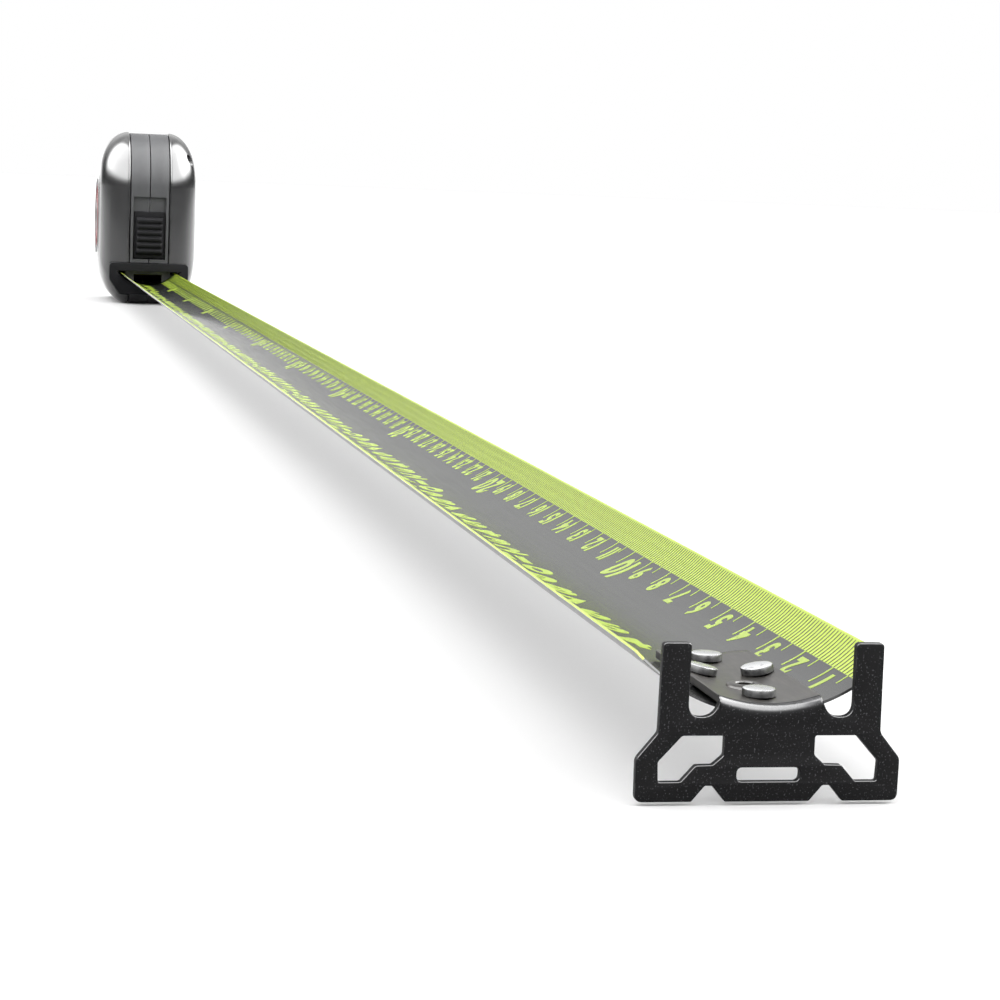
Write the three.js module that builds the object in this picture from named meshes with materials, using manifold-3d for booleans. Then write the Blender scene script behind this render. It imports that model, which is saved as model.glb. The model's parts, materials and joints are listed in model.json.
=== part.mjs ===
// A pocket tape measure with its blade drawn out, ready to measure.
// Millimetres. +Z is up, +X is to the right as seen from the hook, and the blade leaves the
// case towards -Y. The origin is the middle of the flat base.
import * as THREE from "three";
import { mergeVertices } from "three/addons/utils/BufferGeometryUtils.js";
import Module from "manifold-3d";

const wasm = await Module();
wasm.setup();

// Gaps
const FIT = 0.3; // between pieces that touch or seat on each other
const SLIDE_FIT = 0.4; // beside a piece that slides

// Case
const CASE_WIDTH = 50;
const CASE_HEIGHT = 88;
const CASE_DEPTH = 88;
const FRONT_TOP_RADIUS = 28;
const BACK_TOP_RADIUS = 32;
const BACK_BOTTOM_RADIUS = 14;
const FRONT_BOTTOM_RADIUS = 10;
const BAND_HALF_WIDTH = 9.7; // the plain stripe round the middle of the case
const BAND_INSET = 0.6; // how far the stripe lies below the grips
const BULGE_RADIUS = 60; // of the curve that rounds the case towards its sides
const BULGE_DEPTH = 22.8; // how far that curve draws the outline in at the sides
const GRIP_THICKNESS = 3.2;
const GRIP_SIDE_THICKNESS = 3.7;
const SHELL_WALL = 2.2;
const SHELL_SIDE_WALL = 4;

// Blade
const EXTENSION = 1070; // from the case's front to the hook's front
const BLADE_RADIUS = 18.9; // of the trough's outer face
const BLADE_HALF_CHORD = 14.1;
const BLADE_THICKNESS = 0.3;
const BLADE_BOTTOM = 9.5;
const BLADE_INSIDE = 20; // length that reaches into the case
const BLADE_CORNER = 3.2; // clipped off each corner at the hook end

// Hook
const HOOK_THICKNESS = 1;
const HOOK_FLOAT = 1; // travel on its rivets
const HOOK_BOTTOM = 0.4;
const TONGUE_LENGTH = 29;
const TONGUE_HALF_WIDTH = 5.8;
const TONGUE_THICKNESS = 0.9;
const RIVET_SHANK_RADIUS = 1.2;
const RIVET_HEAD_RADIUS = 1.75;
const RIVET_HEAD_HEIGHT = 0.8;
const RIVET_PLACES = [
  { across: 0, along: 3.9 },
  { across: -3.7, along: 15.5 },
  { across: 3.7, along: 15.5 },
  { across: 0, along: 25 },
];
const DIMPLE_ALONG = 9.2;
const DIMPLE_RADIUS = 2.1;
const DIMPLE_HEIGHT = 0.5;
const DIMPLE_HOLE_RADIUS = 1;

// Spool
const COIL_RADIUS = 33;
const COIL_HALF_WIDTH = 15.1;
const DRUM_RADIUS = 21;
const DRUM_WALL = 3;
const WEB_THICKNESS = 1.4;
const SPINDLE_RADIUS = 3.5;
const SPINDLE_SLOT = 1;
const SPOOL_SHAKE = 0.8; // end play of the spool between the shells
const SPRING_HALF_WIDTH = 12;
const COIL_CLEARANCE = 1;
const COIL_RISE = 2.5; // of the coil's lowest turn over the blade's
const RIB_GAP = 2; // between the coil and the round rib that guides it
const RIB_THICKNESS = 1.4;

// Mouth, lock and small pieces
const MOUTH_CLEARANCE = 1.2;
const MOUTH_TOP = BLADE_BOTTOM + 6.4;
const BUMPER_HALF_WIDTH = 20;
const BUMPER_BOTTOM = 5;
const BUMPER_TOP = 21;
const BUMPER_FOOT_HALF_WIDTH = 14.5;
const BUMPER_STAND_OUT = 2.2;
const LOCK_TRAVEL = 7;
const LOCK_HALF_WIDTH = 7.9;
const LOCK_BOTTOM = 23.5;
const LOCK_HEIGHT = 24;
const LOCK_RECESS = 2.8;
const LOCK_PLATE = 1.9;
const LOCK_PAD_STAND_OUT = 3.4;
const LOCK_STEM_HALF_WIDTH = 2.2;
const LOCK_RIDGES = 5;
const SHOE_LIFT = 1.2;
const SHOE_HALF_WIDTH = 11.5;
const SHOE_LENGTH = 6;
const SHOE_TOP = 19.6;
const SHOE_CHANNEL_HALF_WIDTH = 7.2;
const SHOE_CHANNEL_TOP = 15.2;
const SCREW_RADIUS = 1.3;
const SCREW_HEAD_RADIUS = 2.7;
const SCREW_HEAD_HEIGHT = 2.2;
const SCREW_SEAT = 12.2; // from the middle of the case to the head's underside
const SCREW_REACH = 9; // past the middle of the case
const BOSS_RADIUS = 3.4;
const DISC_RADIUS = 19.5;
const DISC_THICKNESS = 1.3;
const DISC_RECESS = 1.4;
const PAD_HALF_WIDTH = 8.2;
const PAD_HALF_LENGTH = 27;
const PAD_THICKNESS = 2.4;

// Places worked out from the sizes above
const FRONT = -CASE_DEPTH / 2;
const HALF_WIDTH = CASE_WIDTH / 2;
const SHELL_INSET = GRIP_THICKNESS;
const ROOM_INSET = GRIP_THICKNESS + SHELL_WALL;
const SHELL_HALF_WIDTH = HALF_WIDTH - GRIP_SIDE_THICKNESS - FIT;
const ROOM_HALF_WIDTH = SHELL_HALF_WIDTH - SHELL_SIDE_WALL;
const BAND_FRONT = FRONT + BAND_INSET;
const ROOM_FRONT = FRONT + ROOM_INSET;
const TROUGH_CENTRE = BLADE_BOTTOM + BLADE_RADIUS;
const BLADE_TOP_RADIUS = BLADE_RADIUS - BLADE_THICKNESS;
const TONGUE_OUTER_RADIUS = BLADE_TOP_RADIUS - FIT;
const TONGUE_INNER_RADIUS = TONGUE_OUTER_RADIUS - TONGUE_THICKNESS;
const COIL_CENTRE = BLADE_BOTTOM + COIL_RADIUS + COIL_RISE;
const HOOK_FRONT = FRONT - EXTENSION;
const HOOK_BACK = HOOK_FRONT + HOOK_THICKNESS;
const BLADE_END = HOOK_BACK + HOOK_FLOAT + FIT;
const BLADE_INNER_END = FRONT + BLADE_INSIDE;
const BUMPER_FRONT = FRONT - BUMPER_STAND_OUT;
const BUMPER_BACK = ROOM_FRONT;
const SHOE_FRONT = ROOM_FRONT + 1.1;
const LOCK_FLOOR = BAND_FRONT + LOCK_RECESS;
const LOCK_PLATE_BACK = LOCK_FLOOR - FIT;
const LOCK_PLATE_FRONT = LOCK_PLATE_BACK - LOCK_PLATE;
const LOCK_TOP = LOCK_BOTTOM + LOCK_HEIGHT;
const RIB_OUTER = COIL_RADIUS + RIB_GAP + RIB_THICKNESS;

const COLOURS = {
  shell: { color: 0x4b4d50, roughness: 0.6, metalness: 0 },
  grip: { color: 0x0c0c0d, roughness: 0.16, metalness: 0 },
  rubber: { color: 0x131314, roughness: 0.75, metalness: 0 },
  label: { color: 0x5a1416, roughness: 0.45, metalness: 0 },
  blade: { color: 0xb9d64b, roughness: 0.35, metalness: 0.1 },
  coated: { color: 0x111113, roughness: 0.4, metalness: 0.3 },
  steel: { color: 0xb8bbc0, roughness: 0.25, metalness: 1 },
  nylon: { color: 0x2b2c2f, roughness: 0.5, metalness: 0 },
};

const tape = new THREE.Group();

/** Turns a closed geometry into a solid that can be cut and joined. */
function toSolid(geometry) {
  const bare = geometry.clone();
  bare.deleteAttribute("normal");
  bare.deleteAttribute("uv");
  const welded = mergeVertices(bare, 1e-4);
  const vertProperties = new Float32Array(welded.attributes.position.array);
  const triVerts = new Uint32Array(welded.index.array);
  return new wasm.Manifold(new wasm.Mesh({ numProp: 3, vertProperties, triVerts }));
}

/** Turns a solid back into a geometry, mirrored to the left side on request. */
function toGeometry(solid, mirrored) {
  const { vertProperties, triVerts } = solid.getMesh();
  const order = Array.from(triVerts);
  if (mirrored) {
    order.reverse();
  }
  const geometry = new THREE.BufferGeometry();
  const across = mirrored ? -1 : 1;
  geometry.setAttribute("position", new THREE.BufferAttribute(new Float32Array(vertProperties), 3));
  geometry.setIndex(order);
  const positions = geometry.attributes.position;
  for (let i = 0; i < positions.count; i += 1) {
    positions.setX(i, across * positions.getX(i));
  }
  geometry.computeVertexNormals();
  return geometry;
}

/** Adds one named piece to the tape measure. */
function addPiece(name, solid, look, mirrored = false) {
  const material = new THREE.MeshStandardMaterial(COLOURS[look]);
  const mesh = new THREE.Mesh(toGeometry(solid, mirrored), material);
  mesh.name = name;
  tape.add(mesh);
}

/** Joins any number of solids. */
function join(...solids) {
  return solids.reduce((whole, next) => whole.add(next));
}

/** Cuts any number of solids out of the first. */
function cut(stock, ...tools) {
  return tools.reduce((left, tool) => left.subtract(tool), stock);
}

/** A block between two limits along each axis. */
function block([x0, x1], [y0, y1], [z0, z1]) {
  const geometry = new THREE.BoxGeometry(x1 - x0, y1 - y0, z1 - z0);
  geometry.translate((x0 + x1) / 2, (y0 + y1) / 2, (z0 + z1) / 2);
  return toSolid(geometry);
}

/** A round bar along X. */
function barX(radius, [x0, x1], y, z, sides = 36) {
  const geometry = new THREE.CylinderGeometry(radius, radius, x1 - x0, sides);
  geometry.rotateZ(-Math.PI / 2);
  geometry.translate((x0 + x1) / 2, y, z);
  return toSolid(geometry);
}

/** A ring round the X axis. */
function ringX(outer, inner, [x0, x1], y, z) {
  return cut(barX(outer, [x0, x1], y, z), barX(inner, [x0 - 1, x1 + 1], y, z));
}

/** An upright round bar. */
function barZ(radius, x, y, [z0, z1], sides = 24) {
  const geometry = new THREE.CylinderGeometry(radius, radius, z1 - z0, sides);
  geometry.rotateX(Math.PI / 2);
  geometry.translate(x, y, (z0 + z1) / 2);
  return toSolid(geometry);
}

/** An outline drawn in X and Z, carried from y0 to y1. */
function slabY(shape, [y0, y1], curveSegments = 8) {
  const geometry = new THREE.ExtrudeGeometry(shape, {
    depth: y1 - y0,
    bevelEnabled: false,
    curveSegments,
  });
  geometry.rotateX(Math.PI / 2);
  geometry.translate(0, y1, 0);
  return toSolid(geometry);
}

/** An outline drawn in X and Y, carried from z0 to z1. */
function slabZ(shape, [z0, z1], curveSegments = 8) {
  const geometry = new THREE.ExtrudeGeometry(shape, {
    depth: z1 - z0,
    bevelEnabled: false,
    curveSegments,
  });
  geometry.translate(0, 0, z0);
  return toSolid(geometry);
}

/** A closed outline through the given points. */
function polygon(points) {
  return new THREE.Shape(points.map(([u, v]) => new THREE.Vector2(u, v)));
}

/** A closed outline through corners given as u, v and a corner radius. */
function roundedPolygon(corners) {
  const shape = new THREE.Shape();
  corners.forEach(([u, v, radius], i) => {
    const here = new THREE.Vector2(u, v);
    const [before, after] = [-1, 1].map((step) => {
      const other = corners[(i + step + corners.length) % corners.length];
      return new THREE.Vector2(other[0], other[1]).sub(here).normalize();
    });
    const halfTurn = Math.acos(THREE.MathUtils.clamp(before.dot(after), -1, 1)) / 2;
    const reach = radius / Math.tan(halfTurn);
    const start = here.clone().addScaledVector(before, reach);
    const end = here.clone().addScaledVector(after, reach);
    if (i === 0) {
      shape.moveTo(start.x, start.y);
    } else {
      shape.lineTo(start.x, start.y);
    }
    if (radius > 0) {
      shape.quadraticCurveTo(u, v, end.x, end.y);
    }
  });
  shape.closePath();
  return shape;
}

/** The same corners on the left side, in the order that keeps the outline's turn. */
function mirroredCorners(corners) {
  return corners.map(([u, ...rest]) => [-u, ...rest]).reverse();
}

/** A rectangle with rounded corners. */
function roundedRectangle([u0, u1], [v0, v1], radius) {
  const shape = new THREE.Shape();
  shape.moveTo(u0 + radius, v0);
  shape.lineTo(u1 - radius, v0);
  shape.absarc(u1 - radius, v0 + radius, radius, -Math.PI / 2, 0);
  shape.lineTo(u1, v1 - radius);
  shape.absarc(u1 - radius, v1 - radius, radius, 0, Math.PI / 2);
  shape.lineTo(u0 + radius, v1);
  shape.absarc(u0 + radius, v1 - radius, radius, Math.PI / 2, Math.PI);
  shape.lineTo(u0, v0 + radius);
  shape.absarc(u0 + radius, v0 + radius, radius, Math.PI, Math.PI * 1.5);
  shape.closePath();
  return shape;
}

/** The case's side outline as points in Y and Z, moved in by the inset. */
function caseOutline(inset) {
  const steps = 6;
  const corners = [
    { y: 1, z: -1, radius: BACK_BOTTOM_RADIUS, start: -90 },
    { y: 1, z: 1, radius: BACK_TOP_RADIUS, start: 0 },
    { y: -1, z: 1, radius: FRONT_TOP_RADIUS, start: 90 },
    { y: -1, z: -1, radius: FRONT_BOTTOM_RADIUS, start: 180 },
  ];
  const points = [];
  for (const corner of corners) {
    const radius = Math.max(corner.radius - inset, 1);
    const centreY = corner.y * (CASE_DEPTH / 2 - inset - radius);
    const centreZ = CASE_HEIGHT / 2 + corner.z * (CASE_HEIGHT / 2 - inset - radius);
    for (let i = 0; i <= steps; i += 1) {
      const angle = THREE.MathUtils.degToRad(corner.start + (90 * i) / steps);
      points.push([centreY + radius * Math.cos(angle), centreZ + radius * Math.sin(angle)]);
    }
  }
  return points;
}

/** A closed skin through case outlines, one for each station across the case. */
function caseLoft(stations) {
  const positions = [];
  const faces = [];
  const rings = stations.map(({ x, inset }) => caseOutline(inset).map(([y, z]) => [x, y, z]));
  const count = rings[0].length;
  rings.forEach((ring) => ring.forEach((point) => positions.push(...point)));
  for (let ring = 0; ring + 1 < rings.length; ring += 1) {
    for (let i = 0; i < count; i += 1) {
      const next = (i + 1) % count;
      const here = ring * count;
      const there = here + count;
      faces.push(here + i, here + next, there + next);
      faces.push(here + i, there + next, there + i);
    }
  }
  const last = (rings.length - 1) * count;
  for (let i = 1; i + 1 < count; i += 1) {
    faces.push(0, i + 1, i);
    faces.push(last, last + i, last + i + 1);
  }
  const geometry = new THREE.BufferGeometry();
  geometry.setAttribute("position", new THREE.Float32BufferAttribute(positions, 3));
  geometry.setIndex(faces);
  return toSolid(geometry);
}

/** A straight length of the case's outline between two stations. */
function caseBlock([x0, x1], inset) {
  return caseLoft([
    { x: x0, inset },
    { x: x1, inset },
  ]);
}

/** A part of a round trough along Y, between two radii about the trough's axis. */
function troughBand(outer, inner, halfChord, [y0, y1]) {
  const half = Math.asin(halfChord / BLADE_RADIUS);
  const down = -Math.PI / 2;
  const shape = new THREE.Shape();
  shape.absarc(0, TROUGH_CENTRE, outer, down - half, down + half, false);
  shape.absarc(0, TROUGH_CENTRE, inner, down + half, down - half, true);
  shape.closePath();
  return slabY(shape, [y0, y1], 14);
}

/** Everything inside a round bar along the trough's axis. */
function troughCore(radius, [y0, y1]) {
  const shape = new THREE.Shape();
  shape.absarc(0, TROUGH_CENTRE, radius, 0, Math.PI * 2);
  return slabY(shape, [y0, y1], 36);
}

/** The way out for the blade: the trough with a clearance, up to the mouth's top. */
function mouthPassage(clearance, [y0, y1]) {
  const wide = BLADE_RADIUS + clearance;
  const below = block([-wide, wide], [y0, y1], [0, MOUTH_TOP + clearance]);
  return troughCore(wide, [y0 - 1, y1 + 1]).intersect(below);
}

/** Turns a solid about the trough's axis to a place across the blade. */
function placedAcross(solid, across) {
  const geometry = toGeometry(solid, false);
  geometry.translate(0, 0, -TROUGH_CENTRE);
  geometry.rotateY(-Math.asin(across / BLADE_RADIUS));
  geometry.translate(0, 0, TROUGH_CENTRE);
  return toSolid(geometry);
}

/** The case's screws: three follow the outline's corners, one stands behind the mouth. */
function screwPlaces() {
  const inCorner = (radius) => {
    const reach = (radius - GRIP_THICKNESS - SHELL_WALL / 2 - BOSS_RADIUS) * Math.SQRT1_2;
    return reach - radius;
  };
  const halfDepth = CASE_DEPTH / 2;
  return [
    { y: -halfDepth - inCorner(FRONT_TOP_RADIUS), z: CASE_HEIGHT + inCorner(FRONT_TOP_RADIUS) },
    { y: halfDepth + inCorner(BACK_TOP_RADIUS), z: CASE_HEIGHT + inCorner(BACK_TOP_RADIUS) },
    { y: halfDepth + inCorner(BACK_BOTTOM_RADIUS), z: -inCorner(BACK_BOTTOM_RADIUS) },
    { y: BLADE_INNER_END + 2 * BOSS_RADIUS, z: ROOM_INSET + SCREW_RADIUS },
  ];
}

/** The front bumper's outline in X and Z, narrow at its foot as the case is. */
function bumperOutline(clearance) {
  const foot = BUMPER_FOOT_HALF_WIDTH + clearance;
  const half = BUMPER_HALF_WIDTH + clearance;
  const bottom = BUMPER_BOTTOM - clearance;
  const top = BUMPER_TOP + clearance;
  return roundedPolygon([
    [-foot, bottom, 2],
    [foot, bottom, 2],
    [half, (bottom + top) / 2, 3],
    [half, top, 2],
    [-half, top, 2],
    [-half, (bottom + top) / 2, 3],
  ]);
}

/** The hole for the front bumper, cut through shells and grips. */
function bumperPocket() {
  return slabY(bumperOutline(FIT), [FRONT - 9, BUMPER_BACK + FIT], 4);
}

/** A bulging half of the case: it starts at the stripe and curves in towards its side. */
function bulge(start, end, inset) {
  const steps = 6;
  const widest = Math.acos(1 - BULGE_DEPTH / BULGE_RADIUS);
  const stations = [];
  for (let i = 0; i <= steps; i += 1) {
    const turn = widest * (i / steps);
    stations.push({
      x: start + (end - start) * (Math.sin(turn) / Math.sin(widest)),
      inset: inset + BULGE_RADIUS * (1 - Math.cos(turn)),
    });
  }
  return caseLoft(stations);
}

/** The outside of the right shell, moved in by an extra inset. */
function shellSkin(extra, start = FIT / 2) {
  return join(
    caseBlock([start, BAND_HALF_WIDTH], SHELL_INSET + extra),
    bulge(BAND_HALF_WIDTH, SHELL_HALF_WIDTH, SHELL_INSET + extra),
  );
}

/** The room inside the right shell, with a clearance all round. */
function shellRoom(clearance) {
  const wide = block([-1, ROOM_HALF_WIDTH - clearance], [FRONT, -FRONT], [0, CASE_HEIGHT]);
  return shellSkin(SHELL_WALL + clearance, -1).intersect(wide);
}

/** The right half of the case's inner shell; the left half is its mirror image. */
function makeShell(screwHeads) {
  const band = caseBlock([FIT / 2, BAND_HALF_WIDTH], BAND_INSET);
  const outside = shellSkin(0);
  const rib = cut(
    ringX(RIB_OUTER, COIL_RADIUS + RIB_GAP, [FIT / 2, ROOM_HALF_WIDTH + 1], 0, COIL_CENTRE),
    block([-1, HALF_WIDTH], [FRONT, 2], [0, SHOE_TOP + SHOE_LIFT]),
  );
  const hubFace = COIL_HALF_WIDTH + WEB_THICKNESS / 2 + SPOOL_SHAKE;
  const hub = barX(2 * SPINDLE_RADIUS, [hubFace, ROOM_HALF_WIDTH + 1], 0, COIL_CENTRE, 24);
  const bosses = screwPlaces().map(({ y, z }) => barX(BOSS_RADIUS, [FIT / 2, SCREW_SEAT], y, z, 24));
  let shell = join(cut(join(band, outside), shellRoom(0)), join(rib, hub, ...bosses).intersect(outside));
  for (const { y, z } of screwPlaces()) {
    shell = cut(shell, barX(SCREW_RADIUS + FIT, [-1, screwHeads ? SCREW_SEAT : SCREW_REACH + FIT], y, z, 20));
    if (screwHeads) {
      shell = cut(shell, barX(SCREW_HEAD_RADIUS + FIT, [SCREW_SEAT - FIT, HALF_WIDTH], y, z, 24));
    }
  }
  const lockRecess = block(
    [-1, LOCK_HALF_WIDTH + SLIDE_FIT],
    [FRONT - 1, LOCK_FLOOR],
    [LOCK_BOTTOM - SLIDE_FIT, LOCK_TOP + LOCK_TRAVEL + SLIDE_FIT],
  );
  const lockSlot = block(
    [-1, LOCK_STEM_HALF_WIDTH + SLIDE_FIT],
    [FRONT - 1, ROOM_FRONT + 1],
    [LOCK_BOTTOM - SLIDE_FIT, LOCK_BOTTOM + 6 + LOCK_TRAVEL + SLIDE_FIT],
  );
  const spindleSocket = barX(SPINDLE_RADIUS + FIT, [0, ROOM_HALF_WIDTH + 2], 0, COIL_CENTRE, 24);
  const padRecess = block(
    [-1, PAD_HALF_WIDTH + FIT],
    [-PAD_HALF_LENGTH - FIT, PAD_HALF_LENGTH + FIT],
    [-1, PAD_THICKNESS + FIT],
  );
  const passage = mouthPassage(MOUTH_CLEARANCE, [FRONT - 2, BLADE_INNER_END]);
  const coilSpace = barX(COIL_RADIUS + COIL_CLEARANCE, [-1, COIL_HALF_WIDTH + FIT], 0, COIL_CENTRE, 48);
  return cut(shell, coilSpace, bumperPocket(), lockRecess, lockSlot, spindleSocket, padRecess, passage);
}

/** The right grip: a soft cover that bulges round the shell, with a round seat for the label disc. */
function makeGrip(screwHeads) {
  const skin = bulge(BAND_HALF_WIDTH + FIT, HALF_WIDTH, 0);
  const shellSpace = join(
    caseBlock([0, BAND_HALF_WIDTH], SHELL_INSET - FIT),
    bulge(BAND_HALF_WIDTH, SHELL_HALF_WIDTH + FIT, SHELL_INSET - FIT),
  );
  const discSeat = barX(DISC_RADIUS + FIT, [HALF_WIDTH - DISC_RECESS, HALF_WIDTH + 1], 0, CASE_HEIGHT / 2);
  let grip = cut(skin, shellSpace, discSeat, bumperPocket());
  if (screwHeads) {
    for (const { y, z } of screwPlaces()) {
      grip = cut(grip, barX(SCREW_HEAD_RADIUS + FIT, [0, HALF_WIDTH + 1], y, z, 24));
    }
  }
  return grip;
}

/** A case screw with a cross slot in its head. */
function makeScrew({ y, z }) {
  const head = [SCREW_SEAT, SCREW_SEAT + SCREW_HEAD_HEIGHT];
  const shank = barX(SCREW_RADIUS, [-SCREW_REACH, head[0] + 0.5], y, z, 20);
  const slotDepth = [head[1] - 1, head[1] + 1];
  const arm = SCREW_HEAD_RADIUS * 0.62;
  const thin = 0.35;
  return cut(
    join(shank, barX(SCREW_HEAD_RADIUS, head, y, z, 24)),
    block(slotDepth, [y - arm, y + arm], [z - thin, z + thin]),
    block(slotDepth, [y - thin, y + thin], [z - arm, z + arm]),
  );
}

/** The soft nose round the mouth, which the hook comes to rest on. */
function makeBumper() {
  const nose = slabY(bumperOutline(0), [BUMPER_FRONT, BUMPER_BACK], 4);
  return cut(nose, mouthPassage(MOUTH_CLEARANCE, [BUMPER_FRONT - 1, BUMPER_BACK + 1]));
}

/** The saddle under the blade, just inside the mouth. */
function makeSaddle() {
  const reach = [SHOE_FRONT + SHOE_LENGTH, BLADE_INNER_END - FIT];
  const stock = block(
    [-BLADE_HALF_CHORD, BLADE_HALF_CHORD],
    reach,
    [ROOM_INSET + FIT, BLADE_BOTTOM + 5.5],
  );
  const rivetChannel = block(
    [-TONGUE_HALF_WIDTH, TONGUE_HALF_WIDTH],
    [reach[0] - 1, reach[1] + 1],
    [BLADE_BOTTOM - 1.5, BLADE_BOTTOM + 5.5],
  );
  const right = shellRoom(FIT);
  const left = toSolid(toGeometry(right, true));
  const trough = troughCore(BLADE_RADIUS + SLIDE_FIT, [reach[0] - 1, reach[1] + 1]);
  return cut(stock.intersect(join(right, left)), trough, rivetChannel);
}

/** The thumb slide: a plate in the recess, a ribbed pad, and a stem to the shoe inside. */
function makeLock() {
  const middle = [-LOCK_HALF_WIDTH, LOCK_HALF_WIDTH];
  const plate = block(middle, [LOCK_PLATE_FRONT, LOCK_PLATE_BACK], [LOCK_BOTTOM, LOCK_TOP]);
  const padFront = LOCK_PLATE_FRONT - LOCK_PAD_STAND_OUT;
  const padBottom = LOCK_BOTTOM + 2;
  const padTop = LOCK_TOP - 3;
  const pad = block([-7, 7], [padFront, LOCK_PLATE_FRONT + 0.5], [padBottom, padTop]);
  const stem = block(
    [-LOCK_STEM_HALF_WIDTH, LOCK_STEM_HALF_WIDTH],
    [LOCK_PLATE_BACK - 0.5, ROOM_FRONT + 1],
    [LOCK_BOTTOM, LOCK_BOTTOM + 6],
  );
  const foot = block([-5, 5], [ROOM_FRONT + FIT, ROOM_FRONT + 3.4], [SHOE_TOP + FIT, LOCK_BOTTOM + 3.5]);
  let lock = join(plate, pad, stem, foot);
  const pitch = (padTop - padBottom) / (LOCK_RIDGES + 1);
  for (let i = 1; i <= LOCK_RIDGES; i += 1) {
    const z = padBottom + pitch * i;
    lock = cut(lock, block([-8, 8], [padFront - 1, padFront + 1], [z - pitch / 5, z + pitch / 5]));
  }
  return lock;
}

/** The brake shoe: a bar over the blade with two feet that straddle the hook's tongue. */
function makeShoe() {
  const reach = [SHOE_FRONT, SHOE_FRONT + SHOE_LENGTH - FIT];
  const stock = block([-SHOE_HALF_WIDTH, SHOE_HALF_WIDTH], reach, [BLADE_BOTTOM, SHOE_TOP]);
  const channel = block(
    [-SHOE_CHANNEL_HALF_WIDTH, SHOE_CHANNEL_HALF_WIDTH],
    [reach[0] - 1, reach[1] + 1],
    [0, SHOE_CHANNEL_TOP],
  );
  return cut(stock.intersect(troughCore(BLADE_TOP_RADIUS - FIT, [reach[0] - 1, reach[1] + 1])), channel);
}

/** The thin steel strip that clicks the lock into its two places. */
function makeDetentSpring() {
  const bottom = LOCK_BOTTOM + 6 + LOCK_TRAVEL + 3;
  const strip = block([-5, 5], [ROOM_FRONT + FIT, ROOM_FRONT + 0.8], [bottom, bottom + 18]);
  const bump = barX(1, [-3, 3], ROOM_FRONT + 0.9, bottom + 3, 16);
  return join(strip, bump.intersect(block([-4, 4], [ROOM_FRONT + FIT, 0], [0, CASE_HEIGHT])));
}

/** The blade's free length, a shallow trough with clipped corners and rivet holes. */
function makeBlade() {
  const reach = [BLADE_END, BLADE_INNER_END];
  let blade = troughBand(BLADE_RADIUS, BLADE_TOP_RADIUS, BLADE_HALF_CHORD, reach);
  const edge = BLADE_HALF_CHORD;
  for (const side of [-1, 1]) {
    const corner = polygon([
      [side * (edge - BLADE_CORNER), BLADE_END - 0.01],
      [side * (edge + 2), BLADE_END - 0.01],
      [side * (edge + 2), BLADE_END + BLADE_CORNER + 2],
    ]);
    blade = cut(blade, slabZ(corner, [0, CASE_HEIGHT]));
  }
  for (const { across, along } of RIVET_PLACES) {
    const hole = barZ(RIVET_SHANK_RADIUS + FIT, 0, HOOK_BACK + along, [BLADE_BOTTOM - 3, BLADE_BOTTOM + 3]);
    blade = cut(blade, placedAcross(hole, across));
  }
  return blade;
}

/** The hook plate's right half: X, height above the hook's bottom, and corner radius. */
function hookHalfOutline() {
  return [
    [4.72, 0, 0.3],
    [6.2, 1.75, 0.35],
    [7.05, 1.75, 0.35],
    [8.52, 0, 0.3],
    [14.8, 0, 0.9],
    [14.85, 4.75, 1.3],
    [12.5, 7.6, 1],
    [12.4, 17.4, 0.5],
    [9.22, 17.4, 0.5],
    [9.26, 9.3, 1.3],
    [6.6, 9.3, 0.9],
    [TONGUE_HALF_WIDTH, 11, 0],
  ];
}

/** One window of the hook plate, on the right, in the same terms. */
function hookWindow() {
  return [
    [5.1, 7.25, 0.3],
    [5.1, 5.1, 0.6],
    [6.3, 4.05, 0.5],
    [8.2, 4, 0.5],
    [9.8, 2.2, 0.5],
    [12.3, 2.2, 0.25],
    [12.4, 4.4, 0.5],
    [9.8, 7.25, 0.5],
  ];
}

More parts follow.
